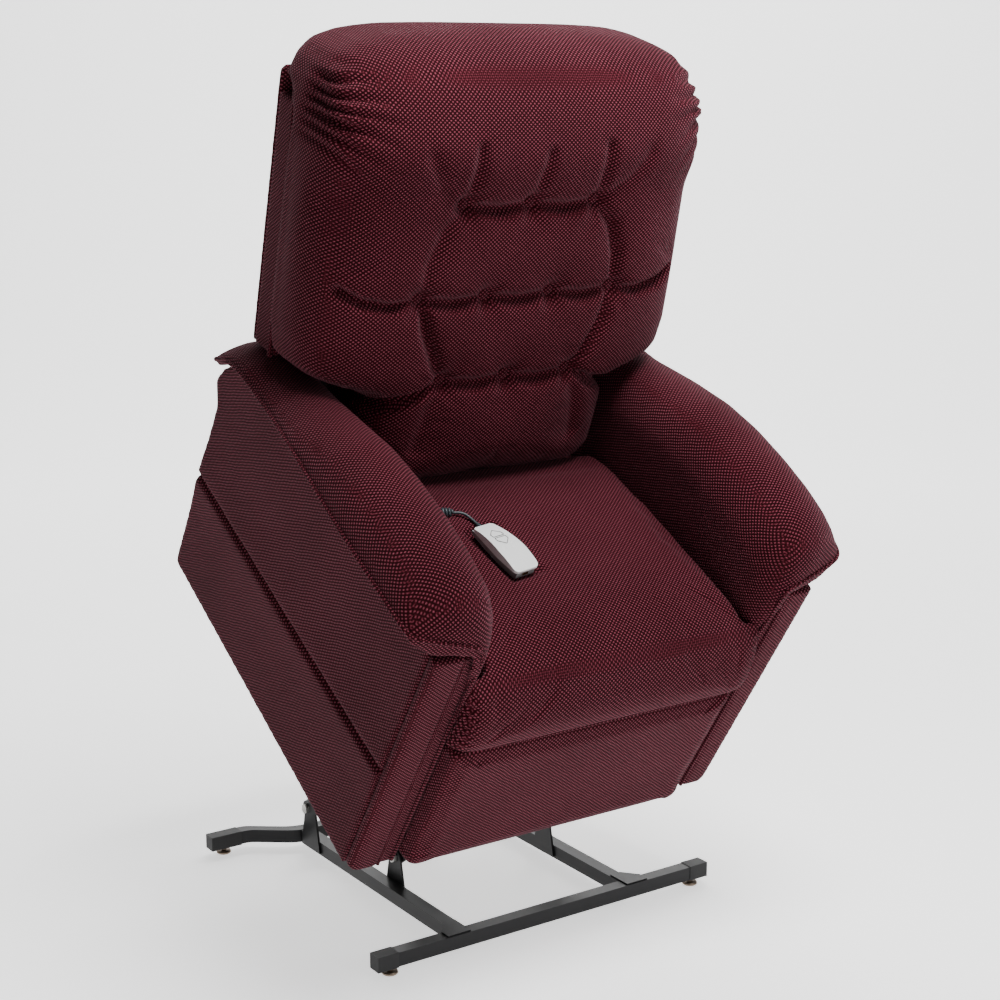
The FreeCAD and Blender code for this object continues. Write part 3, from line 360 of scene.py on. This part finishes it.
def board_paint(place):
    """Sawn softwood and ply, with grain stretched along the row's Y axis."""
    along = place.node("ShaderNodeVectorMath", {"operation": "MULTIPLY"}, place, (60.0, 6.0, 60.0))
    figure, pores = along.noise(1.0, 6.0, 0.6), along.noise(9.0, 3.0)
    tone = figure.mixed((0.33, 0.2, 0.1), (0.56, 0.39, 0.22))
    return {"Base_Color": (pores * 0.3).mixed(tone, (0.25, 0.14, 0.07)), "Roughness": 0.68 + figure * 0.12,
            "Normal": pores.bump(0.35, 0.0004)}


wear(("seat_frame", "arm_frames", "back_frame", "legrest_board"),
     finish("frame_boards", board_paint), 0.001)

# ------------------------------------------------------------------ upholstery cloth
# A burgundy chenille in a basket weave.  Nubs stand in staggered rows, with a painted pink highlight
# on their tips and painted shade, nearly black, on the ground between them.  Each piece of the chair
# has the weave square to its own upright.

nub_across, nub_along = 0.0078, 0.0064
# The ground colour is painted shade for the weave's hollows and the tip colour a painted highlight for the
# nub tops; the body colour is the cloth's own burgundy.
cloth_ground_shade, cloth_body = (0.010, 0.0005, 0.0012), (0.050, 0.0042, 0.0085)
cloth_tip_highlight = (0.200, 0.042, 0.063)


def nubs(across, along):
    """Height of the nubs on a flat piece of cloth, from 0 to 1."""
    slant = (across / nub_across + along / nub_along) * math.pi
    counter = (across / nub_across - along / nub_along) * math.pi
    return slant.maths("SINE", slant) ** 2 * counter.maths("SINE", counter) ** 2


def cloth_paint(lean):
    """The cloth on a piece whose upright leans by so many degrees from the row's +Z."""

    def paint(place):
        turn = (math.radians(-lean), 0.0, 0.0)
        flat = place.node("ShaderNodeVectorRotate", {"rotation_type": "EULER_XYZ"}, place,
                          None, None, None, turn)
        outward = place.node("ShaderNodeVectorRotate", {"rotation_type": "EULER_XYZ"},
                             place.node("ShaderNodeTexCoord", {}, out=1), None, None, None, turn)
        wander = flat.noise(30.0, 2.0) * 0.003
        x, y, z = (flat.node("ShaderNodeSeparateXYZ", {}, flat, out=i) + wander for i in range(3))
        facing = [flat.maths("ABSOLUTE", flat.node("ShaderNodeSeparateXYZ", {}, outward, out=i)) ** 8
                  for i in range(3)]
        total = facing[0] + facing[1] + facing[2]
        weave = (nubs(y, z) * facing[0] + nubs(x, z) * facing[1] + nubs(x, y) * facing[2]) / total
        fluff, drift = flat.noise(900.0, 3.0, 0.7), flat.noise(6.0, 3.0)
        pile = weave * (0.5 + fluff) * (0.7 + drift * 0.6)
        # Colour follows the pile's height: painted shade on the low ground, the cloth's own burgundy above
        # it, and a painted highlight at the tips.
        ground = pile.step(0.0, 0.4).mixed(cloth_ground_shade, cloth_body)
        return {"Base_Color": pile.step(0.3, 0.85).mixed(ground, cloth_tip_highlight),
                "Roughness": 0.92 - pile * 0.15,
                "Normal": (weave + fluff * 0.3).bump(0.9, 0.0016)}

    return paint


cloth_look = {"Sheen_Weight": 0.10, "Sheen_Roughness": 0.4, "Sheen_Tint": (1.0, 0.55, 0.66, 1.0),
              "Specular_IOR_Level": 0.06}
body_cloth = finish("burgundy_cloth_body", cloth_paint(32.64), **cloth_look)
back_cloth = finish("burgundy_cloth_back", cloth_paint(32.64 - 17.4), **cloth_look)


def applied(piece):
    """Turn the piece's modifiers into its mesh."""
    seen = piece.evaluated_get(bpy.context.evaluated_depsgraph_get())
    mesh = bpy.data.meshes.new_from_object(seen)
    piece.modifiers.clear()
    piece.data = mesh
    mesh.polygons.foreach_set("use_smooth", [True] * len(mesh.polygons))


def skin(piece, voxel, passes):
    """Give the piece one fine closed skin whose edges are rounded."""
    remesh = piece.modifiers.new("skin", "REMESH")
    remesh.mode = "VOXEL"
    remesh.voxel_size = voxel
    round_off = piece.modifiers.new("round", "SMOOTH")
    round_off.factor = 0.5
    round_off.iterations = passes
    applied(piece)
    return piece


def cover(node, name, voxel, passes):
    """A fabric skin over a CAD piece."""
    piece = bpy.data.objects.new(name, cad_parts[node].data.copy())
    bpy.context.collection.objects.link(piece)
    return skin(piece, voxel, passes)


def loft(name, rings, where, voxel, passes):
    """A fabric skin through rings of points that are given in a place's own axes."""
    count = len(rings[0])
    points = [where @ Vector(p) for ring in rings for p in ring]
    faces = [(row * count + i, row * count + (i + 1) % count, (row + 1) * count + (i + 1) % count,
              (row + 1) * count + i) for row in range(len(rings) - 1) for i in range(count)]
    faces += [tuple(range(count))[::-1], tuple(range(len(points) - count, len(points)))]
    return skin(add_mesh(name, points, faces), voxel, passes)


def points_of(piece, where):
    """The piece's points and normals, as arrays in a place's own axes."""
    count = len(piece.data.vertices)
    points, normals = np.empty(count * 3), np.empty(count * 3)
    piece.data.vertices.foreach_get("co", points)
    piece.data.vertices.foreach_get("normal", normals)
    back = np.array(where.inverted())
    points = points.reshape(-1, 3) @ back[:3, :3].T + back[:3, 3]
    return points, normals.reshape(-1, 3) @ back[:3, :3].T


def put_points(piece, where, points):
    forth = np.array(where)
    piece.data.vertices.foreach_set("co", (points @ forth[:3, :3].T + forth[:3, 3]).ravel())
    piece.data.update()


def inflate(piece, where, held, cap, pressure=4.0):
    """Blow the skin up as cloth, with held points still and none moving past the cap."""
    before, _ = points_of(piece, where)
    group = piece.vertex_groups.new(name="held")
    for index in np.nonzero(held > 0.02)[0]:
        group.add([int(index)], float(held[index]), "REPLACE")
    cloth = piece.modifiers.new("cloth", "CLOTH")
    setup = cloth.settings
    setup.quality = 4
    setup.mass = 0.3
    setup.use_pressure = True
    setup.uniform_pressure_force = pressure
    setup.effector_weights.gravity = 0.0
    setup.vertex_group_mass = "held"
    setup.tension_stiffness = setup.compression_stiffness = 15
    setup.bending_stiffness = 0.4
    for number in range(1, 21):
        bpy.context.scene.frame_set(number)
    applied(piece)
    bpy.context.scene.frame_set(1)
    piece.vertex_groups.clear()
    after, _ = points_of(piece, where)
    moved = after - before
    reach = np.linalg.norm(moved, axis=1, keepdims=True)
    put_points(piece, where, before + moved * cap * np.tanh(reach / cap) / np.maximum(reach, 1e-9))


def nearness(points, line, width, fade=0.0):
    """How near each 2-D point is to a bent line: 1 on it, less by `fade` at its far end."""
    best, reached = np.full(len(points), 1e9), np.zeros(len(points))
    for number, (start, end) in enumerate(zip(np.array(line), np.array(line[1:]))):
        along = end - start
        share = np.clip(((points - start) @ along) / (along @ along), 0.0, 1.0)
        away = np.linalg.norm(points - start - share[:, None] * along, axis=1)
        reached = np.where(away < best, (number + share) / (len(line) - 1), reached)
        best = np.minimum(best, away)
    return np.exp(-((best / width) ** 2)) * (1.0 - fade * reached)


def bent(value, low, high):
    """A smooth step from 0 at low to 1 at high."""
    share = np.clip((value - low) / (high - low), 0.0, 1.0)
    return share * share * (3 - 2 * share)


def dress(piece, body, material, *nodes, fill=None):
    """Give a fabric piece its cloth, its body and the nodes it stands for."""
    piece.data.materials.clear()
    piece.data.materials.append(material)
    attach(piece, body)
    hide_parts(*nodes)


def piping(name, route, where, radius, body, material, *cloths):
    """A covered cord sewn into a seam: given points, drawn onto the cloth beside them."""
    trees = [BVHTree.FromPolygons([v.co for v in cloth.data.vertices],
                                  [p.vertices for p in cloth.data.polygons]) for cloth in cloths]
    seam = []
    for at in route:
        spot = where @ Vector(at)
        if trees:
            found = min((tree.find_nearest(spot) for tree in trees), key=lambda hit: hit[3])
            spot = found[0] + found[1] * radius * 0.35
        seam.append(on_body.inverted() @ spot)
    piece = smooth_cord(name, seam, 2 * radius)
    bpy.context.collection.objects.link(piece)
    piece.data.materials.append(material)
    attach(piece, body)


# ------------------------------------------------------------------ seat cushion
# Foam wrapped in fibre, in one cover that rolls over the front edge to a hemmed lip.  The lip's
# side seams are gathered, and the cushion is pressed where the handset lies on it.

seat_half, lip_half, lip_back = 0.258, 0.300, -0.178
seat_side = [(0.300, 0.372), (0.322, 0.40), (0.322, 0.425), (0.300, 0.447), (0.23, 0.469),
             (0.132, 0.490), (0.05, 0.499),
             (-0.023, 0.505), (-0.08, 0.509), (-0.12, 0.509), (-0.155, 0.504), (-0.183, 0.491),
             (-0.205, 0.468), (-0.220, 0.435), (-0.226, 0.40), (-0.222, 0.372), (-0.210, 0.357),
             (-0.190, 0.3555), (-0.179, 0.364), (-0.1785, 0.372)]
seat_rings = []
for x in [*(-lip_half * np.cos(np.linspace(0.0, 0.5, 7))), -0.2581,
          *np.linspace(-seat_half, seat_half, 25), 0.2581,
          *(lip_half * np.cos(np.linspace(0.5, 0.0, 7)))]:
    past = max(abs(x) - 0.245, 0.0) / (lip_half - 0.245)
    roll = (1.0 - min(past, 0.97) ** 3) ** 0.5
    crown = 0.006 * (1.0 - (x / lip_half) ** 2)
    ring = []
    for y, z in seat_side:
        if abs(x) > seat_half:
            y, z = min(y, lip_back), min(z, 0.500)
        y = lip_back + (y - lip_back) * roll if y < lip_back else y
        ring.append((x, y, z + crown * (z > 0.44)))
    seat_rings.append(ring)
seat = loft("seat_cover", seat_rings, on_body, 0.0055, 10)
spots, outward = points_of(seat, on_body)
held = np.maximum(1.0 - bent(spots[:, 2], 0.372, 0.40), bent(spots[:, 1], 0.24, 0.27))
inflate(seat, on_body, held, 0.010)
spots, outward = points_of(seat, on_body)
on_side = bent(np.abs(spots[:, 0]), 0.266, 0.290) * bent(-spots[:, 1], 0.176, 0.190)
ruche = np.sin(spots[:, 2] * 2 * math.pi / 0.013 + np.sin(spots[:, 2] * 90.0) * 1.1)
spots += outward * (on_side * (0.0026 * ruche - 0.001))[:, None]
from_handset = (np.c_[spots, np.ones(len(spots))] @ np.array(on_seat.inverted() @ on_body).T)[:, :3]
under = (bent(0.040 - np.abs(from_handset[:, 0]), 0.0, 0.014)
         * bent(0.074 - np.abs(from_handset[:, 1]), 0.0, 0.014))
proud = np.maximum(from_handset[:, 2] + 0.0005, 0.0) * (spots[:, 2] > 0.45)
spots[:, 2] -= under * proud
put_points(seat, on_body, spots)
dress(seat, "lift_frame", body_cloth, "seat_cushion", fill=0.7)
hem = [(-0.298, -0.185, 0.358), (-0.290, -0.203, 0.357), (-0.262, -0.215, 0.3565), (-0.13, -0.218, 0.356),
       (0.0, -0.219, 0.356), (0.13, -0.218, 0.356), (0.262, -0.215, 0.3565), (0.290, -0.203, 0.357),
       (0.298, -0.185, 0.358)]
piping("seat_lip_hem", hem, on_body, 0.0028, "lift_frame", body_cloth, seat)

# ------------------------------------------------------------------ arms
# Each arm is a boarded box under a stuffed pillow that overhangs it.  A piped seam runs round
# the pillow's foot, over a soft flange, and turns down the inner edge of the front panel.

pad_stations = np.array([-0.190, -0.184, -0.172, -0.150, -0.12, -0.06, 0.02, 0.10, 0.18, 0.27, 0.37, 0.43,
                         0.48, 0.52, 0.55, 0.575, 0.586, 0.590])
pad_top = np.array([0.604, 0.622, 0.642, 0.662, 0.676, 0.685, 0.688, 0.684, 0.672, 0.645, 0.615, 0.603,
                    0.597, 0.586, 0.570, 0.551, 0.538, 0.522])
welt_x = np.array([0.426, 0.430, 0.432, 0.434, 0.434, 0.434, 0.434, 0.434, 0.430, 0.424, 0.409, 0.404,
                   0.403, 0.402, 0.401, 0.399, 0.396, 0.392])
welt_z = np.array([0.592, 0.598, 0.602, 0.606, 0.607, 0.606, 0.604, 0.603, 0.602, 0.596, 0.572, 0.564,
                   0.560, 0.548, 0.532, 0.516, 0.508, 0.504])
pad_foot = np.array([0.562, 0.560, 0.5585, 0.5585, 0.5585, 0.5585, 0.5585, 0.5585, 0.5585, 0.5585,
                     0.5585, 0.5585, 0.555, 0.550, 0.530, 0.504, 0.490, 0.486])
pad_inner = np.array([0.296, 0.288, 0.278, 0.268, 0.263, 0.2625] + [0.2625] * 12)
skirt_foot = np.array([0.530, 0.500, 0.420, 0.400, 0.392] + [0.39] * 8 + [0.44, 0.50, 0.50, 0.485, 0.481])
arch_turns = np.linspace(math.pi, 0.0, 21)
for side, sign in (("left", 1), ("right", -1)):
    pad_rings = []
    for y in np.concatenate([pad_stations[:4], np.linspace(-0.135, 0.575, 54), pad_stations[-2:]]):
        top, out_x, out_z, foot, in_x, skirt = (
            np.interp(y, pad_stations, table)
            for table in (pad_top, welt_x, welt_z, pad_foot, pad_inner, skirt_foot))
        in_z = top - 0.095
        ring = [(out_x - 0.004, out_z - 0.007), (0.5 * (out_x + 0.384), 0.5 * (out_z + foot)),
                (0.384, foot), (in_x + 0.024, foot), (in_x + 0.018, skirt), (in_x + 0.003, skirt - 0.003),
                (in_x, skirt + 0.004), (in_x, 0.5 * (skirt + in_z))]
        half, centre = (out_x - in_x) / 2, (out_x + in_x) / 2
        for turn in arch_turns:
            share = 0.5 - 0.5 * math.cos(turn)
            low = out_z * (1 - share) + in_z * share
            ring.append((centre + half * math.cos(turn), low + (top - low) * math.sin(turn) ** 1.15))
        set_back = 0.030 * bent(-y, -0.02, 0.15)
        pad_rings.append([(sign * x, y + set_back * max(x - 0.30, 0.0) / 0.13, z) for x, z in ring])
    pad = loft(f"arm_pillow_{side}", pad_rings, on_body, 0.0055, 5)
    spots, outward = points_of(pad, on_body)
    welt_here = np.interp(spots[:, 1], pad_stations, welt_z)
    held = 1.0 - bent(spots[:, 2] - welt_here, 0.004, 0.03)
    inflate(pad, on_body, held, 0.006)
    dress(pad, "lift_frame", body_cloth, f"arm_pad_{side}", *(["arm_inner_panels"] if sign > 0 else []),
          fill=0.75)

    panel = cover(f"arm_side_panel_{side}", f"arm_outside_{side}", 0.006, 4)
    spots, outward = points_of(panel, on_body)
    outer = bent(sign * spots[:, 0], 0.366, 0.376)
    side_seam = [(-0.17, 0.285), (0.20, 0.272), (0.58, 0.261)]
    pinch = nearness(spots[:, [1, 2]], side_seam, 0.0055)
    puff = nearness(spots[:, [1, 2]], side_seam, 0.06)
    spots[:, 0] += sign * outer * (0.004 * puff - 0.011 * pinch)
    put_points(panel, on_body, spots)
    dress(panel, "lift_frame", body_cloth, f"arm_side_panel_{side}")

    facing = cover(f"arm_front_panel_{side}", f"arm_facing_{side}", 0.005, 5)
    spots, outward = points_of(facing, on_body)
    forward = bent(-spots[:, 1], 0.170, 0.176)
    inward = 0.379 - sign * spots[:, 0]
    spots[:, 1] -= forward * 0.004 * bent(inward, 0.0, 0.02) * bent(-inward, -0.062, -0.045)
    put_points(facing, on_body, spots)
    dress(facing, "lift_frame", body_cloth, f"arm_front_panel_{side}")

    seam = [(0.388, 0.588, 0.506), (0.397, 0.582, 0.511), (0.402, 0.565, 0.524), (0.405, 0.53, 0.546),
            (0.406, 0.48, 0.562), (0.407, 0.43, 0.567), (0.412, 0.37, 0.575), (0.426, 0.27, 0.598),
            (0.436, 0.17, 0.604), (0.437, 0.05, 0.605), (0.437, -0.06, 0.607), (0.437, -0.12, 0.608),
            (0.436, -0.148, 0.607), (0.426, -0.166, 0.603), (0.395, -0.178, 0.597), (0.35, -0.190, 0.590),
            (0.315, -0.196, 0.583), (0.300, -0.195, 0.574), (0.297, -0.187, 0.556), (0.2965, -0.183, 0.50),
            (0.2965, -0.182, 0.40), (0.2965, -0.182, 0.25), (0.2965, -0.182, 0.12), (0.2965, -0.182, 0.055)]
    piping(f"arm_pillow_piping_{side}", [(sign * x, y, z) for x, y, z in seam], on_body, 0.0038,
           "lift_frame", body_cloth, pad, facing)
    seam = [(0.322, -0.179, 0.553), (0.322, -0.1815, 0.45), (0.322, -0.1815, 0.25), (0.322, -0.1795, 0.052)]
    piping(f"arm_panel_piping_{side}", [(sign * x, y, z) for x, y, z in seam], on_body, 0.0032,
           "lift_frame", body_cloth, facing)

# ------------------------------------------------------------------ back cushion
# Loose fibre fill in one cover, drawn back at ten covered buttons in rows of three, four and
# three.  Creases run between buttons, out to the sides and down to the corners, and the cover
# is gathered at the top corners.

levels = np.array([-0.068, -0.060, -0.03, 0.04, 0.095, 0.112, 0.124, 0.136, 0.155, 0.20, 0.45, 0.55, 0.60,
                   0.630, 0.652, 0.668, 0.680, 0.688])
half_width = np.array([0.225, 0.243, 0.254, 0.256, 0.258, 0.275, 0.318, 0.350, 0.368, 0.375, 0.376, 0.374,
                       0.366, 0.352, 0.330, 0.290, 0.225, 0.06])
front_depth = np.array([0.205, 0.232, 0.250, 0.258, 0.262, 0.262, 0.262, 0.262, 0.263, 0.265, 0.258, 0.262,
                        0.240, 0.218, 0.193, 0.170, 0.145, 0.110])
back_depth = np.array([0.120, 0.100, 0.088, 0.085, 0.085, 0.085, 0.085, 0.085, 0.085, 0.085, 0.085, 0.085,
                       0.012, 0.012, 0.015, 0.026, 0.045, 0.080])
across = np.sin(np.linspace(-math.pi / 2, math.pi / 2, 61))
cushion_rings = []
for z in np.concatenate([np.linspace(-0.068, 0.09, 18), np.linspace(0.098, 0.158, 13),
                         np.linspace(0.17, 0.565, 40), np.linspace(0.575, 0.688, 22)]):
    half, front, rear = (np.interp(z, levels, table) for table in (half_width, front_depth, back_depth))
    bulge = 0.012 * math.exp(-(((z - 0.51) / 0.045) ** 2))
    rim = 0.096 if z < 0.57 else 0.5 * (front + rear)
    ring = [(half * s, -(rim + (front + bulge - rim) * (1 - abs(s) ** 4) ** 0.25), z) for s in across]
    ring += [(half * s, -(rim + (rear - rim) * (1 - abs(s) ** 8) ** 0.125), z) for s in across[-2:0:-1]]
    cushion_rings.append(ring)
back = loft("back_cover", cushion_rings, on_back, 0.0052, 6)

ROW_TOP, ROW_MID, ROW_LOW = 0.4346, 0.2797, 0.1328
rows = ((ROW_TOP, (-0.130, 0.0, 0.130)), (ROW_MID, (-0.193, -0.065, 0.065, 0.193)),
        (ROW_LOW, (-0.128, 0.0, 0.128)))
tufts = [(x, z) for z, places in rows for x in places]
creases = [([(left, z), ((left + right) / 2, z - 0.007), (right, z)], 0.022, 0.012)
           for z, places in rows for left, right in zip(places, places[1:])]
for sign, shallow in ((1, 0.020), (-1, 0.010)):
    creases += [
        ([(sign * 0.130, ROW_TOP), (sign * 0.168, 0.395), (sign * 0.188, 0.34), (sign * 0.193, ROW_MID)],
         shallow, 0.012),
        ([(sign * 0.193, ROW_MID), (sign * 0.178, 0.225), (sign * 0.150, 0.165), (sign * 0.128, ROW_LOW)],
         0.021, 0.011),
        ([(sign * 0.193, ROW_MID), (sign * 0.250, 0.272), (sign * 0.300, 0.280), (sign * 0.335, 0.296)],
         0.021, 0.009),
        ([(sign * 0.128, ROW_LOW), (sign * 0.185, 0.106), (sign * 0.245, 0.086), (sign * 0.30, 0.098)],
         0.021, 0.010),
        ([(sign * 0.128, ROW_LOW), (sign * 0.150, 0.080), (sign * 0.162, 0.01)], 0.009, 0.016),
        ([(sign * 0.130, ROW_TOP), (sign * 0.128, 0.48), (sign * 0.126, 0.535)], 0.012, 0.011),
        ([(sign * 0.130, ROW_TOP), (sign * 0.185, 0.475), (sign * 0.215, 0.52)], 0.007, 0.014)]
    fan = ((0.315, 0.650, 0.010), (0.282, 0.628, 0.013), (0.262, 0.598, 0.014), (0.250, 0.566, 0.014),
           (0.255, 0.530, 0.012), (0.272, 0.490, 0.010), (0.295, 0.452, 0.007))
    creases += [([(sign * 0.374, 0.30 + 0.5 * z), (sign * (0.374 + x) / 2, 0.15 + 0.75 * z + 0.004),
                  (sign * x, z)], depth, 0.0065, 1.0) for x, z, depth in fan]
creases.append(([(0.0, ROW_TOP), (0.002, 0.48), (0.008, 0.525)], 0.010, 0.011))
spots, outward = points_of(back, on_back)
front = bent(-spots[:, 1], 0.10, 0.15)
seen_flat = spots[:, [0, 2]]
pull = np.zeros(len(spots))
for line, depth, width, *fade in creases:
    pull = np.maximum(pull, depth * nearness(seen_flat, line, width, *fade))
for x, z in tufts:
    away = np.hypot(seen_flat[:, 0] - x, seen_flat[:, 1] - z)
    pull = np.maximum(pull, 0.030 * np.exp(-((away / 0.022) ** 2)))
spots -= outward * (pull * front)[:, None]
put_points(back, on_back, spots)
held = np.maximum(np.clip(front * (pull / 0.014) ** 2, 0.0, 1.0), 1.0 - bent(-spots[:, 1], 0.09, 0.125))
inflate(back, on_back, held, 0.020)
dress(back, "backrest", back_cloth, "back_cushion", fill=0.6)

# ------------------------------------------------------------------ back buttons
# Pressed shells wrapped in the same cloth, sewn through at each crossing of the creases.

button_radius, button_rise, button_rings, button_sides = 0.0125, 0.006, 7, 24
spots, outward = points_of(back, on_back)
button_points, button_faces = [], []
for x, z in tufts:
    close = (np.hypot(spots[:, 0] - x, spots[:, 2] - z) < 0.009) & (spots[:, 1] < -0.15)
    seat_y = spots[close, 1].mean() + 0.001
    first = len(button_points)
    for ring in range(button_rings):
        turn = math.pi / 2 * (ring + 1) / button_rings
        for number in range(button_sides):
            angle = 2 * math.pi * number / button_sides
            radius = button_radius * math.sin(turn)
            button_points.append((x + radius * math.cos(angle), seat_y - button_rise * math.cos(turn),
                                  z + radius * math.sin(angle)))
    for number in range(button_sides):
        angle = 2 * math.pi * number / button_sides
        button_points.append((x + button_radius * 0.85 * math.cos(angle), seat_y + 0.005,
                              z + button_radius * 0.85 * math.sin(angle)))
    for ring in range(button_rings):
        for number in range(button_sides):
            here = first + ring * button_sides
            beside = (number + 1) % button_sides
            button_faces.append((here + number, here + button_sides + number,
                                 here + button_sides + beside, here + beside))
    button_faces += [tuple(range(first, first + button_sides)),
                     tuple(range(first + button_rings * button_sides,
                                 first + (button_rings + 1) * button_sides))[::-1]]
buttons = add_mesh("covered_buttons", button_points, button_faces)
buttons.data.transform(on_back)
dress(buttons, "backrest", back_cloth, "back_buttons")

# ------------------------------------------------------------------ outside back and rear panel
# An upholstered board closes the backrest between two side strips piped along their front
# edge.  Its cover runs a little past the board at both ends, and a plain panel closes the body
# below it.

outside = cover("outside_back_panel", "outside_back", 0.0055, 4)
spots, outward = points_of(outside, on_back)
spots[:, 2] += 0.040 * bent(spots[:, 2], 0.50, 0.56) - 0.045 * (1.0 - bent(spots[:, 2], 0.02, 0.11))
crown = bent(0.35 - np.abs(spots[:, 0]), 0.0, 0.2) * bent(0.56 - spots[:, 2], 0.0, 0.15)
spots[:, 1] += 0.007 * crown * bent(spots[:, 1], -0.006, 0.0)
put_points(outside, on_back, spots)
dress(outside, "backrest", back_cloth, "outside_back_panel")
strips = cover("back_side_strips", "back_side_bands", 0.005, 5)
dress(strips, "backrest", back_cloth, "back_side_strips")
for side, sign in (("left", 1), ("right", -1)):
    seam = [(0.3605, -0.077, 0.130), (0.3605, -0.0765, 0.18), (0.3605, -0.075, 0.30), (0.3605, -0.074, 0.45),
            (0.3605, -0.073, 0.53), (0.3595, -0.070, 0.575), (0.356, -0.055, 0.593), (0.352, -0.030, 0.597)]
    piping(f"back_piping_{side}", [(sign * x, y, z) for x, y, z in seam], on_back, 0.005, "backrest",
           back_cloth)
rear = cover("rear_body_panel", "rear_panel_cover", 0.0065, 4)
dress(rear, "lift_frame", body_cloth, "rear_body_panel")

# ------------------------------------------------------------------ legrest
# A thin foam pad on its board, folded up under the seat's lip.

footpad = cover("legrest_pad", "legrest_cover", 0.0055, 10)
spots, outward = points_of(footpad, on_body)
spots[:, 0] *= 1.028
put_points(footpad, on_body, spots)
inflate(footpad, on_body, 1.0 - bent(-spots[:, 1], 0.172, 0.186), 0.005)
dress(footpad, "ottoman", body_cloth, "legrest_pad", fill=0.8)

# ------------------------------------------------------------------ handset
# A glossy white moulded shell over a grey housing, with two sprung arrow buttons and a charging
# port at its front end.  It lies on the seat, on its curly cord.

white_shell = finish("white_shell", moulded_paint((0.66, 0.67, 0.67), (0.74, 0.74, 0.73), 0.2, 2600.0),
                     Coat_Weight=0.4, Coat_Roughness=0.12)
grey_housing = finish("grey_housing", moulded_paint((0.22, 0.23, 0.235), (0.3, 0.31, 0.315), 0.34))
wear(("handset_upper_shell", "button_up", "button_down"), white_shell, 0.0009)
wear(("handset_lower_housing",), grey_housing, 0.0009)
port_brass = finish("port_brass", plated_paint((0.7, 0.5, 0.26), (0.42, 0.3, 0.16), 0.22),
                    Metallic=1.0)
wear(("usb_port",), port_brass, 0.0002)
wear(("handset_strain_relief", "cord_gland"), jacket, 0.0005)
gasket_thick, gasket_spread, sharp, weld = 0.0011, 1.03, 1.0, 0.00001
gaskets = bpy.data.curves.new("button_gaskets", "CURVE")
gaskets.dimensions = "3D"
gaskets.bevel_depth = gasket_thick / 2
gaskets.use_fill_caps = True
for name in ("button_up", "button_down"):
    shape = bmesh.new()
    shape.from_mesh(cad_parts[name].data)
    shape.transform(on_seat.inverted())
    bmesh.ops.remove_doubles(shape, verts=shape.verts, dist=weld)
    shape.normal_update()
    low, high = (Vector([pick(v.co[i] for v in shape.verts) for i in range(3)]) for pick in (min, max))
    for edge in shape.edges:
        upward = max(face.normal.z for face in edge.link_faces)
        if edge.calc_face_angle(0.0) > sharp and upward > 0.7:
            side = gaskets.splines.new("POLY")
            side.points.add(1)
            for point, corner in zip(side.points, edge.verts):
                centre = (low + high) / 2
                centre.z = corner.co.z
                point.co = (*(on_seat @ (centre + (corner.co - centre) * gasket_spread)), 1.0)
    shape.free()
gasket = bpy.data.objects.new("button_gaskets", gaskets)
bpy.context.collection.objects.link(gasket)
gasket.data.materials.append(cap_plastic)
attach(gasket, "lift_frame")
